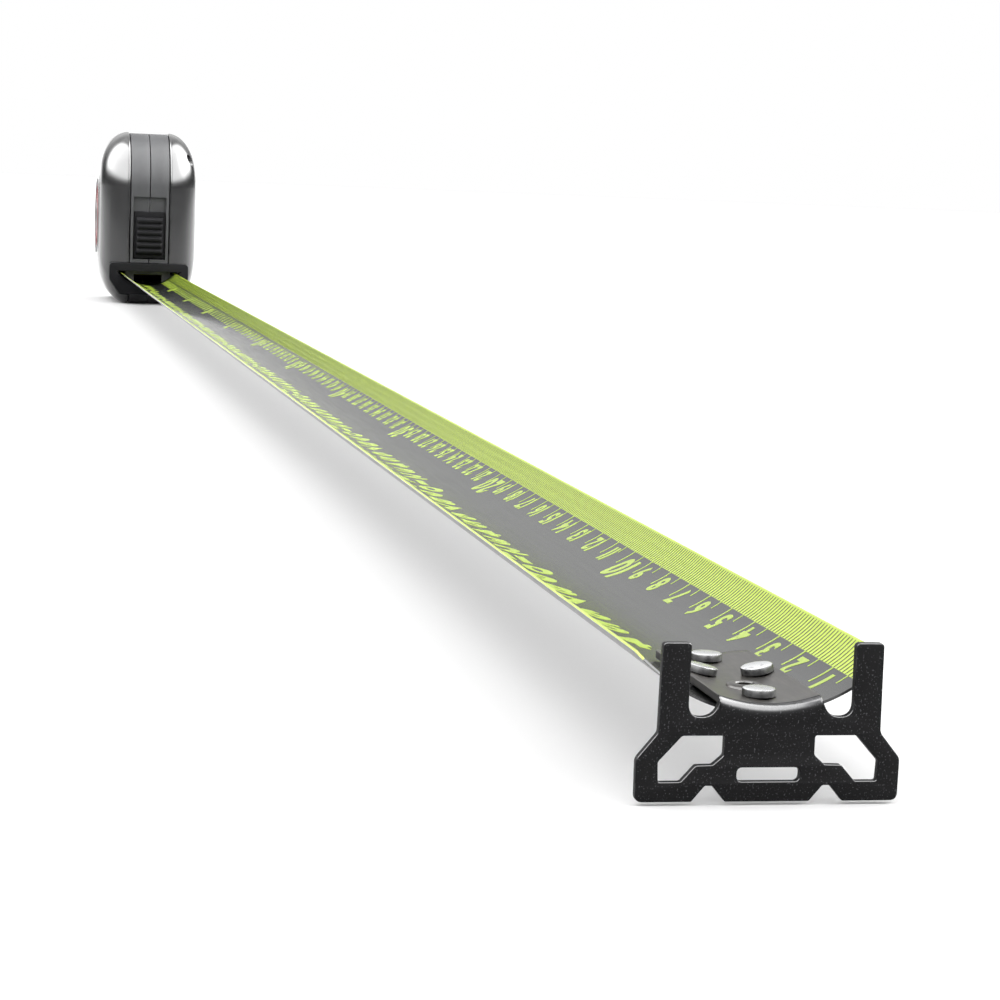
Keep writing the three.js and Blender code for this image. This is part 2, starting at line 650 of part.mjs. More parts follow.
/** The hook: a plate with windows and two prongs, bent from a tongue that lies along the blade. */
function makeHook() {
  const right = hookHalfOutline();
  const plateReach = [HOOK_FRONT, HOOK_BACK];
  const through = [HOOK_FRONT - 1, HOOK_BACK + 1];
  const raised = (corners) => corners.map(([x, z, radius]) => [x, z + HOOK_BOTTOM, radius]);
  const outline = roundedPolygon(raised([...right, ...mirroredCorners(right)]));
  let plate = slabY(outline, plateReach, 4);
  for (const window of [hookWindow(), mirroredCorners(hookWindow())]) {
    plate = cut(plate, slabY(roundedPolygon(raised(window)), through, 3));
  }
  const slot = roundedRectangle([-3.55, 3.55], [HOOK_BOTTOM + 2.2, HOOK_BOTTOM + 3.75], 0.65);
  plate = cut(plate, slabY(slot, through, 3));

  const neck = block(
    [-TONGUE_HALF_WIDTH, TONGUE_HALF_WIDTH],
    plateReach,
    [HOOK_BOTTOM + 8.5, BLADE_BOTTOM + 4],
  );
  const overTongue = troughCore(TONGUE_INNER_RADIUS, through);
  const neckWide = block([-TONGUE_HALF_WIDTH, TONGUE_HALF_WIDTH], through, [0, CASE_HEIGHT]);
  const bend = cut(neck, overTongue);
  plate = cut(plate, overTongue.intersect(neckWide));

  const tongueReach = [HOOK_FRONT, HOOK_BACK + TONGUE_LENGTH];
  const plan = roundedRectangle([-TONGUE_HALF_WIDTH, TONGUE_HALF_WIDTH], tongueReach, 3);
  const squareFront = block(
    [-TONGUE_HALF_WIDTH, TONGUE_HALF_WIDTH],
    [HOOK_FRONT, HOOK_FRONT + 5],
    [0, CASE_HEIGHT],
  );
  const planSolid = join(slabZ(plan, [0, CASE_HEIGHT], 4), squareFront);
  const band = troughBand(TONGUE_OUTER_RADIUS, TONGUE_INNER_RADIUS, TONGUE_HALF_WIDTH + 2, tongueReach);
  let tongue = band.intersect(planSolid);
  const tongueTop = TROUGH_CENTRE - TONGUE_INNER_RADIUS;
  const dimpleY = HOOK_BACK + DIMPLE_ALONG;
  tongue = join(
    tongue,
    barZ(DIMPLE_RADIUS, 0, dimpleY, [tongueTop - TONGUE_THICKNESS / 2, tongueTop + DIMPLE_HEIGHT]),
  );
  tongue = cut(tongue, barZ(DIMPLE_HOLE_RADIUS, 0, dimpleY, [0, CASE_HEIGHT], 16));
  for (const { across, along } of RIVET_PLACES) {
    const y = HOOK_BACK + along;
    const radius = RIVET_SHANK_RADIUS + FIT;
    const heights = [BLADE_BOTTOM - 3, BLADE_BOTTOM + 4];
    const slotSides = join(
      barZ(radius, 0, y, heights),
      barZ(radius, 0, y - HOOK_FLOAT, heights),
      block([-radius, radius], [y - HOOK_FLOAT, y], heights),
    );
    tongue = cut(tongue, placedAcross(slotSides, across));
  }
  return join(plate, bend, tongue);
}

/** A rivet through the tongue and the blade, with a flat head above and a smaller one below. */
function makeRivet({ across, along }) {
  const y = HOOK_BACK + along;
  const headBottom = TROUGH_CENTRE - TONGUE_INNER_RADIUS + FIT + 0.2;
  const tailTop = BLADE_BOTTOM - FIT;
  const rivet = join(
    barZ(RIVET_HEAD_RADIUS, 0, y, [headBottom, headBottom + RIVET_HEAD_HEIGHT], 32),
    barZ(RIVET_SHANK_RADIUS, 0, y, [tailTop - 0.2, headBottom + 0.2], 24),
    barZ(RIVET_HEAD_RADIUS * 0.9, 0, y, [tailTop - 0.4, tailTop], 24),
  );
  return placedAcross(rivet, across);
}

/** The drum the blade winds on: a tube with a web on its left side. */
function makeDrum() {
  const inner = DRUM_RADIUS - DRUM_WALL;
  const bore = SPINDLE_RADIUS + SLIDE_FIT;
  const left = -COIL_HALF_WIDTH - WEB_THICKNESS / 2;
  const tube = ringX(DRUM_RADIUS, inner, [left, COIL_HALF_WIDTH - WEB_THICKNESS / 2 - FIT], 0, COIL_CENTRE);
  const web = ringX(DRUM_RADIUS, bore, [left, left + WEB_THICKNESS], 0, COIL_CENTRE);
  return cut(join(tube, web), anchorBlock(FIT));
}

/** The steel tab that ties the blade's end to the spring, or its pocket with a clearance. */
function anchorBlock(clearance) {
  const top = COIL_CENTRE + DRUM_RADIUS;
  return block(
    [-4 - clearance, 4 + clearance],
    [-3 - clearance, 3 + clearance],
    [top - 1.7 - clearance, top - FIT + clearance * 3],
  );
}

for (const [side, mirrored] of [
  ["right", false],
  ["left", true],
]) {
  addPiece(`${side}_shell`, makeShell(!mirrored), "shell", mirrored);
  addPiece(`${side}_grip`, makeGrip(!mirrored), "grip", mirrored);
  const discInner = HALF_WIDTH - DISC_RECESS + FIT;
  const disc = barX(DISC_RADIUS, [discInner, discInner + DISC_THICKNESS], 0, CASE_HEIGHT / 2);
  addPiece(`${side}_label_disc`, disc, "label", mirrored);
}
screwPlaces().forEach((place, index) => addPiece(`case_screw_${index + 1}`, makeScrew(place), "steel"));

const padLength = [-PAD_HALF_LENGTH, PAD_HALF_LENGTH];
addPiece("base_pad", block([-PAD_HALF_WIDTH, PAD_HALF_WIDTH], padLength, [0, PAD_THICKNESS]), "rubber");
addPiece("front_bumper", makeBumper(), "rubber");
addPiece("mouth_saddle", makeSaddle(), "nylon");
addPiece("lock_slide", makeLock(), "rubber");
addPiece("brake_shoe", makeShoe(), "nylon");
addPiece("lock_detent_spring", makeDetentSpring(), "steel");

const spindleEnd = ROOM_HALF_WIDTH + 2 - FIT;
addPiece(
  "spindle",
  cut(
    barX(SPINDLE_RADIUS, [-spindleEnd, spindleEnd], 0, COIL_CENTRE, 24),
    block([-SPRING_HALF_WIDTH, spindleEnd + 1], [-SPINDLE_SLOT / 2, SPINDLE_SLOT / 2], [0, CASE_HEIGHT]),
  ),
  "steel",
);
addPiece("drum", makeDrum(), "nylon");
const coverReach = [COIL_HALF_WIDTH - WEB_THICKNESS / 2, COIL_HALF_WIDTH + WEB_THICKNESS / 2];
addPiece("drum_cover", ringX(DRUM_RADIUS, SPINDLE_RADIUS + SLIDE_FIT, coverReach, 0, COIL_CENTRE), "nylon");
const springReach = [-SPRING_HALF_WIDTH, SPRING_HALF_WIDTH];
const springOuter = DRUM_RADIUS - DRUM_WALL - 0.6;
addPiece("return_spring", ringX(springOuter, SPINDLE_RADIUS + 0.8, springReach, 0, COIL_CENTRE), "steel");
addPiece("blade_anchor", anchorBlock(0), "steel");
const coilReach = [-COIL_HALF_WIDTH, COIL_HALF_WIDTH];
addPiece("blade_coil", ringX(COIL_RADIUS, DRUM_RADIUS + FIT, coilReach, 0, COIL_CENTRE), "blade");

addPiece("blade", makeBlade(), "blade");
RIVET_PLACES.forEach((place, index) => addPiece(`hook_rivet_${index + 1}`, makeRivet(place), "steel"));
addPiece("hook", makeHook(), "coated");

export default tape;
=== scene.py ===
"""Fine meshes, finishes and studio for a pocket tape measure with its blade drawn out.

Shapes are worked out in millimetres and become metres when a mesh is made. +Z is up, +X is to the
right as seen from the hook, and the blade leaves the case towards -Y.
"""

import json
import logging
import math
from collections.abc import Callable, Iterable, Sequence
from dataclasses import dataclass
from enum import Enum
from functools import cached_property

import bmesh
import bpy
from mathutils import Euler, Matrix, Vector


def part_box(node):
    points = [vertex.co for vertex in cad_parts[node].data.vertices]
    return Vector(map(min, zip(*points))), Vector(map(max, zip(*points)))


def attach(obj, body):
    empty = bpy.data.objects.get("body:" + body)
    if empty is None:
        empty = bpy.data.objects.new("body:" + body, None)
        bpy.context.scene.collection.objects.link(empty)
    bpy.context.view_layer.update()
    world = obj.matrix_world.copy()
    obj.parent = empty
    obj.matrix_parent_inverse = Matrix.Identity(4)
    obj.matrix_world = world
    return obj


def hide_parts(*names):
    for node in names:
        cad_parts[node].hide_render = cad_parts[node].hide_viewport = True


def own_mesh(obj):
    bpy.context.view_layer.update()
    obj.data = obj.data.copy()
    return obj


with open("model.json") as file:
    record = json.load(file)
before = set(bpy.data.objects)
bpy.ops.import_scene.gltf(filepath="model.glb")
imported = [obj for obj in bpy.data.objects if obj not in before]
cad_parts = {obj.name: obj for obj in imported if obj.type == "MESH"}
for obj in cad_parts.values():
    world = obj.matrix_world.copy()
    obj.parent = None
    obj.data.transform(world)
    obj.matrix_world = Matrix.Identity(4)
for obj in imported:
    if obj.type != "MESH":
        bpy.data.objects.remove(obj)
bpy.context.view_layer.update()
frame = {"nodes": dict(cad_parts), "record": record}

MM = 0.001
FIT = 0.3
SLIDE_FIT = 0.4

Point = tuple[float, float, float]
Flat = tuple[float, float]
Face = tuple[int, ...]
Corner = tuple[float, float, float]

log = logging.getLogger("tape_measure")


class Axis(Enum):
    """The direction that a bar runs in."""

    X = 0
    Y = 1
    Z = 2


class Side(Enum):
    """The two sides of the case, with the sign of X on each."""

    RIGHT = 1
    LEFT = -1

    def node(self, piece: str) -> str:
        """The name of this side's piece."""
        return f"{self.name.lower()}_{piece}"


class Join(Enum):
    """What a boolean does with its tool."""

    ADD = "UNION"
    CUT = "DIFFERENCE"


class Body(Enum):
    """The bodies that pieces ride on."""

    CASE = "case"
    LOCK = "lock"
    BLADE = "blade_end"
    HOOK = "hook"


def box_mm(node: str) -> tuple[Vector, Vector]:
    """A CAD node's lowest and highest corners in millimetres.

    Args:
        node: The node's name.

    Returns:
        The two corners.
    """
    low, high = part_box(node)
    return low / MM, high / MM


def between(start: float, end: float, steps: int) -> list[float]:
    """Evenly spaced values from start to end.

    Args:
        start: The first value.
        end: The last value.
        steps: How many gaps lie between them.

    Returns:
        One more value than there are gaps.
    """
    return [start + (end - start) * i / steps for i in range(steps + 1)]


# ---------------------------------------------------------------- shader graph


class Wire:
    """A node's output in an expression; each operator on it adds a Math node."""

    def __init__(self, graph: "Graph", socket: bpy.types.NodeSocket) -> None:
        """Wraps a socket.

        Args:
            graph: The graph that the socket is in.
            socket: The output socket.
        """
        self.graph = graph
        self.socket = socket

    def _math(self, operation: str, *values: "Wire | float") -> "Wire":
        """Adds one Math node.

        Args:
            operation: The node's operation.
            values: What its sockets take, in order.

        Returns:
            The result.
        """
        return self.graph.take("ShaderNodeMath", {"operation": operation}, dict(enumerate(values)))

    def __add__(self, other: "Wire | float") -> "Wire":
        """Sum."""
        return self._math("ADD", self, other)

    __radd__ = __add__

    def __sub__(self, other: "Wire | float") -> "Wire":
        """Difference."""
        return self._math("SUBTRACT", self, other)

    def __rsub__(self, other: float) -> "Wire":
        """Difference from a number."""
        return self._math("SUBTRACT", other, self)

    def __mul__(self, other: "Wire | float") -> "Wire":
        """Product."""
        return self._math("MULTIPLY", self, other)

    __rmul__ = __mul__

    def __pow__(self, other: float) -> "Wire":
        """Power."""
        return self._math("POWER", self, other)

    def __abs__(self) -> "Wire":
        """Size without sign."""
        return self._math("ABSOLUTE", self)

    def sine(self) -> "Wire":
        """Sine of a value in radians."""
        return self._math("SINE", self)

    def larger(self, other: "Wire | float") -> "Wire":
        """The larger of two values."""
        return self._math("MAXIMUM", self, other)

    def bearing(self, other: "Wire") -> "Wire":
        """The angle whose tangent is this value over the other."""
        return self._math("ARCTAN2", self, other)

    def rise(self, start: float, end: float) -> "Wire":
        """A smooth step from 0 at start to 1 at end, which may be the smaller one.

        Args:
            start: The value that gives 0.
            end: The value that gives 1.

        Returns:
            The step.
        """
        limits = {"Value": self, "From Min": start, "From Max": end}
        return self.graph.take("ShaderNodeMapRange", {"interpolation_type": "SMOOTHSTEP"}, limits)


Value = Wire | float | tuple[float, ...]


class Graph:
    """The nodes of one material."""

    def __init__(self, tree: bpy.types.NodeTree) -> None:
        """Starts from an empty tree.

        Args:
            tree: The tree to fill.
        """
        self.tree = tree
        self.tree.nodes.clear()

    def node(self, kind: str, settings: dict | None = None, inputs: dict | None = None) -> bpy.types.Node:
        """Adds any node.

        Args:
            kind: The node's type.
            settings: Its properties, which are set first.
            inputs: What its sockets take, by name or place.

        Returns:
            The node.
        """
        made = self.tree.nodes.new(kind)
        for name, value in (settings or {}).items():
            setattr(made, name, value)
        for key, value in (inputs or {}).items():
            if isinstance(value, Wire):
                self.tree.links.new(value.socket, made.inputs[key])
            else:
                made.inputs[key].default_value = value
        return made

    def take(
        self, kind: str, settings: dict | None = None, inputs: dict | None = None, output: int | str = 0
    ) -> Wire:
        """Adds a node and takes one of its outputs.

        Args:
            kind: The node's type.
            settings: Its properties.
            inputs: What its sockets take.
            output: The output's name or place.

        Returns:
            The output.
        """
        return Wire(self, self.node(kind, settings, inputs).outputs[output])

    def coordinates(self, which: str) -> Wire:
        """One output of Texture Coordinate: Object, Normal or Generated."""
        return self.take("ShaderNodeTexCoord", output=which)

    def parts(self, vector: Wire) -> tuple[Wire, Wire, Wire]:
        """A vector's X, Y and Z."""
        split = self.node("ShaderNodeSeparateXYZ", inputs={0: vector})
        x, y, z = (Wire(self, split.outputs[i]) for i in range(3))
        return x, y, z

    def stretched(self, vector: Wire, scale: Point) -> Wire:
        """A vector multiplied along each axis."""
        return self.take("ShaderNodeVectorMath", {"operation": "MULTIPLY"}, {0: vector, 1: scale})

    def noise(self, vector: Wire, scale: float, detail: float = 3.0, roughness: float = 0.55) -> Wire:
        """Noise between 0 and 1.

        Args:
            vector: Where it is read.
            scale: Features per metre.
            detail: How many finer layers it has.
            roughness: How strong they are.

        Returns:
            The noise.
        """
        sockets = {"Vector": vector, "Scale": scale, "Detail": detail, "Roughness": roughness}
        return self.take("ShaderNodeTexNoise", inputs=sockets)

    def colour(self, factor: Wire, low: Value, high: Value) -> Wire:
        """A mix of two colours.

        Args:
            factor: 0 gives low and 1 gives high.
            low: The first colour.
            high: The second colour.

        Returns:
            The mixed colour.
        """
        low, high = (value if isinstance(value, Wire) else (*value, 1.0) for value in (low, high))
        sockets = {0: factor, 6: low, 7: high}
        return self.take("ShaderNodeMix", {"data_type": "RGBA", "blend_type": "MIX"}, sockets, 2)

    def bump(self, height: Wire, depth_mm: float, strength: float = 1.0) -> Wire:
        """A surface normal moved by a height.

        Args:
            height: The height, from 0 to 1.
            depth_mm: How deep 0 lies under 1.
            strength: How far the normal follows it.

        Returns:
            The normal.
        """
        sockets = {"Strength": strength, "Distance": depth_mm * MM, "Height": height}
        return self.take("ShaderNodeBump", inputs=sockets)


class Finish:
    """A surface finish: a subclass fills in the shader's sockets."""

    name = "finish"

    def sockets(self, graph: Graph, place: Wire) -> dict[str, Value]:
        """What the shader's sockets take."""
        raise NotImplementedError

    def material(self) -> bpy.types.Material:
        """Builds the material.

        Returns:
            A material with one Principled shader.
        """
        made = bpy.data.materials.new(self.name)
        made.use_nodes = True
        graph = Graph(made.node_tree)
        sockets = self.sockets(graph, graph.coordinates("Object"))
        shader = graph.take("ShaderNodeBsdfPrincipled", inputs=sockets)
        graph.node("ShaderNodeOutputMaterial", inputs={"Surface": shader})
        return made


@dataclass(frozen=True)
class PowderCoat(Finish):
    """Black powder coat with a fine orange peel, pale specks and bright worn edges."""

    name: str = "black_powder_coat"
    body: Point = (0.0045, 0.0045, 0.0048)
    speck: Point = (0.05, 0.05, 0.053)
    worn: Point = (0.045, 0.045, 0.048)
    grains_per_metre: float = 2600.0

    def sockets(self, graph: Graph, place: Wire) -> dict[str, Value]:
        """What the shader's sockets take."""
        peel = graph.noise(place, self.grains_per_metre, 2.0, 0.5)
        specks = graph.noise(place, self.grains_per_metre * 1.7, 1.0).rise(0.6, 0.74)
        patches = graph.noise(place, 420.0, 4.0)
        facing = abs(graph.parts(graph.coordinates("Normal"))[1])
        rim = facing.rise(0.1, 0.4) * facing.rise(0.97, 0.8)
        bend = rim * graph.parts(graph.coordinates("Normal"))[2].rise(0.2, 0.5)
        wear = rim * patches.rise(0.42, 0.66)
        base = graph.colour(wear, graph.colour(specks, self.body, self.speck), self.worn)
        return {
            "Base Color": base,
            "Roughness": 0.46 + 0.16 * (patches - 0.5) - 0.2 * rim,
            "Specular IOR Level": 0.09,
            "Coat Weight": bend,
            "Coat Roughness": 0.16,
            "Normal": graph.bump(peel, 0.05, 0.55),
        }


@dataclass(frozen=True)
class SatinCoat(Finish):
    """The same coat rubbed smooth where the tongue lies along the blade."""

    name: str = "satin_coat"
    body: Point = (0.014, 0.0125, 0.011)
    rubbed: Point = (0.035, 0.031, 0.027)

    def sockets(self, graph: Graph, place: Wire) -> dict[str, Value]:
        """What the shader's sockets take."""
        along = graph.noise(graph.stretched(place, (1.0, 0.08, 1.0)), 2600.0, 4.0)
        patches = graph.noise(place, 300.0)
        return {
            "Base Color": graph.colour(along.rise(0.4, 0.75), self.body, self.rubbed),
            "Roughness": 0.24 + 0.12 * patches,
            "Specular IOR Level": 0.42,
            "Normal": graph.bump(along, 0.008, 0.4),
        }


@dataclass(frozen=True)
class GlossGrip(Finish):
    """Glossy black soft cover."""

    name: str = "gloss_black_grip"
    body: Point = (0.0055, 0.0055, 0.006)
    dusty: Point = (0.012, 0.012, 0.013)

    def sockets(self, graph: Graph, place: Wire) -> dict[str, Value]:
        """What the shader's sockets take."""
        grain = graph.noise(place, 1400.0, 2.0)
        smear = graph.noise(place, 70.0, 4.0)
        return {
            "Base Color": graph.colour(smear.rise(0.45, 0.7), self.body, self.dusty),
            "Roughness": 0.17 + 0.1 * smear,
            "Specular IOR Level": 0.6,
            "Coat Weight": 0.45,
            "Coat Roughness": 0.1,
            "Normal": graph.bump(grain, 0.006, 0.35),
        }


@dataclass(frozen=True)
class Moulded(Finish):
    """Moulded plastic or rubber with a fine spark-eroded grain."""

    name: str = "moulded"
    body: Point = (0.02, 0.0205, 0.022)
    light: Point = (0.03, 0.031, 0.033)
    roughness: float = 0.5
    grain_mm: float = 0.03
    grains_per_metre: float = 2200.0
    shine: float = 0.4

    def sockets(self, graph: Graph, place: Wire) -> dict[str, Value]:
        """What the shader's sockets take."""
        grain = graph.noise(place, self.grains_per_metre, 2.0, 0.6)
        cloud = graph.noise(place, 90.0, 4.0)
        return {
            "Base Color": graph.colour(cloud.rise(0.35, 0.7), self.body, self.light),
            "Roughness": self.roughness + 0.14 * (cloud - 0.5),
            "Specular IOR Level": self.shine,
            "Normal": graph.bump(grain, self.grain_mm, 0.5),
        }


@dataclass(frozen=True)
class BareMetal(Finish):
    """Metal with fine drawn scratches and a patchy polish."""

    name: str = "bare_metal"
    body: Point = (0.87, 0.88, 0.89)
    dull: Point = (0.6, 0.6, 0.6)
    roughness: float = 0.2
    scratch_stretch: Point = (1.0, 0.12, 1.0)

    def sockets(self, graph: Graph, place: Wire) -> dict[str, Value]:
        """What the shader's sockets take."""
        scratches = graph.noise(graph.stretched(place, self.scratch_stretch), 5200.0, 3.0)
        patches = graph.noise(place, 520.0, 3.0)
        return {
            "Base Color": graph.colour(patches.rise(0.45, 0.72), self.body, self.dull),
            "Metallic": 1.0,
            "Roughness": self.roughness + 0.16 * (patches - 0.5) + 0.08 * scratches,
            "Normal": graph.bump(scratches, 0.004, 0.35),
        }


@dataclass(frozen=True)
class WornRivet(Finish):
    """A black rivet whose flat head is worn bright."""

    name: str = "worn_rivet"
    coat: Point = (0.006, 0.006, 0.0065)
    bright: Point = (0.86, 0.87, 0.88)
    dull: Point = (0.5, 0.5, 0.52)

    def sockets(self, graph: Graph, place: Wire) -> dict[str, Value]:
        """What the shader's sockets take."""
        patches = graph.noise(place, 900.0, 4.0)
        scratches = graph.noise(graph.stretched(place, (1.0, 0.15, 1.0)), 5200.0)
        up = graph.parts(graph.coordinates("Normal"))[2]
        worn = up.rise(0.62, 0.84)
        metal = graph.colour(patches.rise(0.5, 0.75), self.bright, self.dull)
        return {
            "Base Color": graph.colour(worn, self.coat, metal),
            "Metallic": worn,
            "Roughness": 0.34 - 0.14 * worn + 0.14 * (patches - 0.5),
            "Normal": graph.bump(scratches, 0.004, 0.3),
        }


@dataclass(frozen=True)
class WoundStrip(Finish):
    """The side of a coil: many turns of one thin strip, seen as fine rings."""

    name: str = "wound_strip"
    body: Point = (0.3, 0.37, 0.05)
    gap: Point = (0.02, 0.022, 0.01)
    metallic: float = 0.0
    turn_mm: float = 0.55
    centre_height_mm: float = 45.0

    def sockets(self, graph: Graph, place: Wire) -> dict[str, Value]:
        """What the shader's sockets take."""
        _, y, z = graph.parts(place)
        radius = (y * y + (z - self.centre_height_mm * MM) ** 2.0) ** 0.5
        turns = (radius * (2 * math.pi / (self.turn_mm * MM))).sine()
        groove = turns.rise(-0.9, 0.1)
        return {
            "Base Color": graph.colour(groove, self.gap, self.body),
            "Metallic": self.metallic,
            "Roughness": 0.3 + 0.25 * graph.noise(place, 300.0),
            "Normal": graph.bump(groove, 0.12, 0.6),
        }


@dataclass(frozen=True)
class BladeLacquer(Finish):
    """Glossy lacquer: a lime scale band, a black middle, a lime left edge and a grey underside."""

    name: str = "blade_lacquer"
    lime: Point = (0.58, 0.74, 0.06)
    under: Point = (0.1, 0.1, 0.1)
    black: Point = (0.011, 0.0125, 0.012)
    band_start_mm: float = 11.2
    left_strip_mm: float = -14.6
    soft_mm: float = 0.06
    radius_mm: float = 18.6
    centre_height_mm: float = 28.4

    def sockets(self, graph: Graph, place: Wire) -> dict[str, Value]:
        """What the shader's sockets take."""
        x, _, z = graph.parts(place)
        across = x.bearing(self.centre_height_mm * MM - z) * self.radius_mm
        band = across.rise(self.band_start_mm - self.soft_mm, self.band_start_mm + self.soft_mm)
        strip = across.rise(self.left_strip_mm + self.soft_mm, self.left_strip_mm - self.soft_mm)
        below = graph.parts(graph.coordinates("Normal"))[2].rise(0.1, -0.1)
        rubs = graph.noise(graph.stretched(place, (1.0, 0.03, 1.0)), 1800.0, 4.0)
        cloud = graph.noise(place, 60.0, 3.0)
        top = graph.colour(band.larger(strip), self.black, self.lime)
        return {
            "Base Color": graph.colour(below, top, self.under),
            "Roughness": 0.13 + 0.1 * rubs + 0.05 * cloud,
            "Specular IOR Level": 0.55,
            "Normal": graph.bump(graph.noise(place, 240.0, 2.0), 0.012, 0.25),
        }


@dataclass(frozen=True)
class Ink(Finish):
    """Printed ink under the same clear lacquer."""

    name: str = "ink"
    body: Point = (0.44, 0.6, 0.05)
    thin: Point = (0.36, 0.5, 0.04)

    def sockets(self, graph: Graph, place: Wire) -> dict[str, Value]:
        """What the shader's sockets take."""
        cover = graph.noise(place, 2400.0, 2.0)
        return {
            "Base Color": graph.colour(cover.rise(0.5, 0.8), self.body, self.thin),
            "Roughness": 0.18 + 0.12 * cover,
            "Specular IOR Level": 0.55,
        }


@dataclass(frozen=True)
class LabelPrint(Finish):
    """A dark red printed disc with black and silver rings."""

    name: str = "label_print"
    red: Point = (0.16, 0.008, 0.009)
    black: Point = (0.006, 0.006, 0.006)
    silver: Point = (0.38, 0.38, 0.39)
    centre_height_mm: float = 44.0
    rim_mm: float = 17.4
    ring_mm: float = 8.4

    def sockets(self, graph: Graph, place: Wire) -> dict[str, Value]:
        """What the shader's sockets take."""
        _, y, z = graph.parts(place)
        radius = (y * y + (z - self.centre_height_mm * MM) ** 2.0) ** 0.5 * (1 / MM)
        rim = radius.rise(self.rim_mm - 0.05, self.rim_mm + 0.05)
        hub = radius.rise(self.ring_mm + 0.05, self.ring_mm - 0.05)
        line = radius.rise(self.rim_mm - 0.65, self.rim_mm - 0.55) * (1 - rim)
        fibre = graph.noise(place, 1500.0, 3.0)
        base = graph.colour(rim.larger(hub), self.red, self.black)
        return {
            "Base Color": graph.colour(line, base, self.silver),
            "Roughness": 0.3 + 0.14 * fibre,
            "Normal": graph.bump(fibre, 0.01, 0.3),
        }


@dataclass(frozen=True)
class StudioFloor(Finish):
    """The plain pale floor."""

    name: str = "pale_floor"
    body: Point = (0.93, 0.93, 0.93)
    light: Point = (0.95, 0.95, 0.95)

    def sockets(self, graph: Graph, place: Wire) -> dict[str, Value]:
        """What the shader's sockets take."""
        cloud = graph.noise(place, 2.0, 2.0)
        return {
            "Base Color": graph.colour(cloud, self.body, self.light),
            "Roughness": 0.9,
            "Specular IOR Level": 0.1,
        }


class Paintbox:
    """Every material, made once when it is first asked for."""

    @cached_property
    def powder(self) -> bpy.types.Material:
        """The hook's coat."""
        return PowderCoat().material()

    @cached_property
    def satin(self) -> bpy.types.Material:
        """The tongue's coat."""
        return SatinCoat().material()

    @cached_property
    def grip(self) -> bpy.types.Material:
        """The case's glossy cover."""
        return GlossGrip().material()

    @cached_property
    def shell(self) -> bpy.types.Material:
        """The case's grey shell."""
        return Moulded(name="grey_shell").material()

    @cached_property
    def rubber(self) -> bpy.types.Material:
        """Matt black rubber."""
        body = (0.0045, 0.0045, 0.005)
        light = (0.008, 0.008, 0.009)
        return Moulded("soft_rubber", body, light, roughness=0.62, grain_mm=0.05, shine=0.08).material()

    @cached_property
    def nylon(self) -> bpy.types.Material:
        """Dark nylon for what runs inside."""
        body = (0.022, 0.023, 0.026)
        light = (0.034, 0.035, 0.038)
        return Moulded("dark_nylon", body, light, roughness=0.42, grain_mm=0.015).material()

    @cached_property
    def plated(self) -> bpy.types.Material:
        """Bright plated rivets and screws."""
        return BareMetal(name="plated_steel").material()

    @cached_property
    def rivet(self) -> bpy.types.Material:
        """Black rivets with bright heads."""
        return WornRivet().material()

    @cached_property
    def spring(self) -> bpy.types.Material:
        """Bluish spring steel."""
        dull = (0.2, 0.2, 0.22)
        return BareMetal("spring_steel", (0.36, 0.37, 0.4), dull, roughness=0.34).material()

    @cached_property
    def wound_spring(self) -> bpy.types.Material:
        """The power spring seen from its side."""
        steel = (0.42, 0.42, 0.44)
        return WoundStrip("wound_spring", steel, (0.03, 0.03, 0.03), metallic=1.0).material()

    @cached_property
    def wound_blade(self) -> bpy.types.Material:
        """The wound blade seen from its side."""
        return WoundStrip(name="wound_blade").material()

    @cached_property
    def blade(self) -> bpy.types.Material:
        """The blade's lacquer."""
        return BladeLacquer().material()

    @cached_property
    def lime_ink(self) -> bpy.types.Material:
        """Lime ink on the black middle."""
        return Ink(name="lime_ink").material()

    @cached_property
    def dark_ink(self) -> bpy.types.Material:
        """Dark ink on the lime band."""
        return Ink("dark_ink", (0.05, 0.075, 0.012), (0.09, 0.12, 0.02)).material()

    @cached_property
    def label(self) -> bpy.types.Material:
        """The side discs' print."""
        return LabelPrint().material()

    @cached_property
    def floor(self) -> bpy.types.Material:
        """The studio floor."""
        return StudioFloor().material()


# ---------------------------------------------------------------- mesh tools


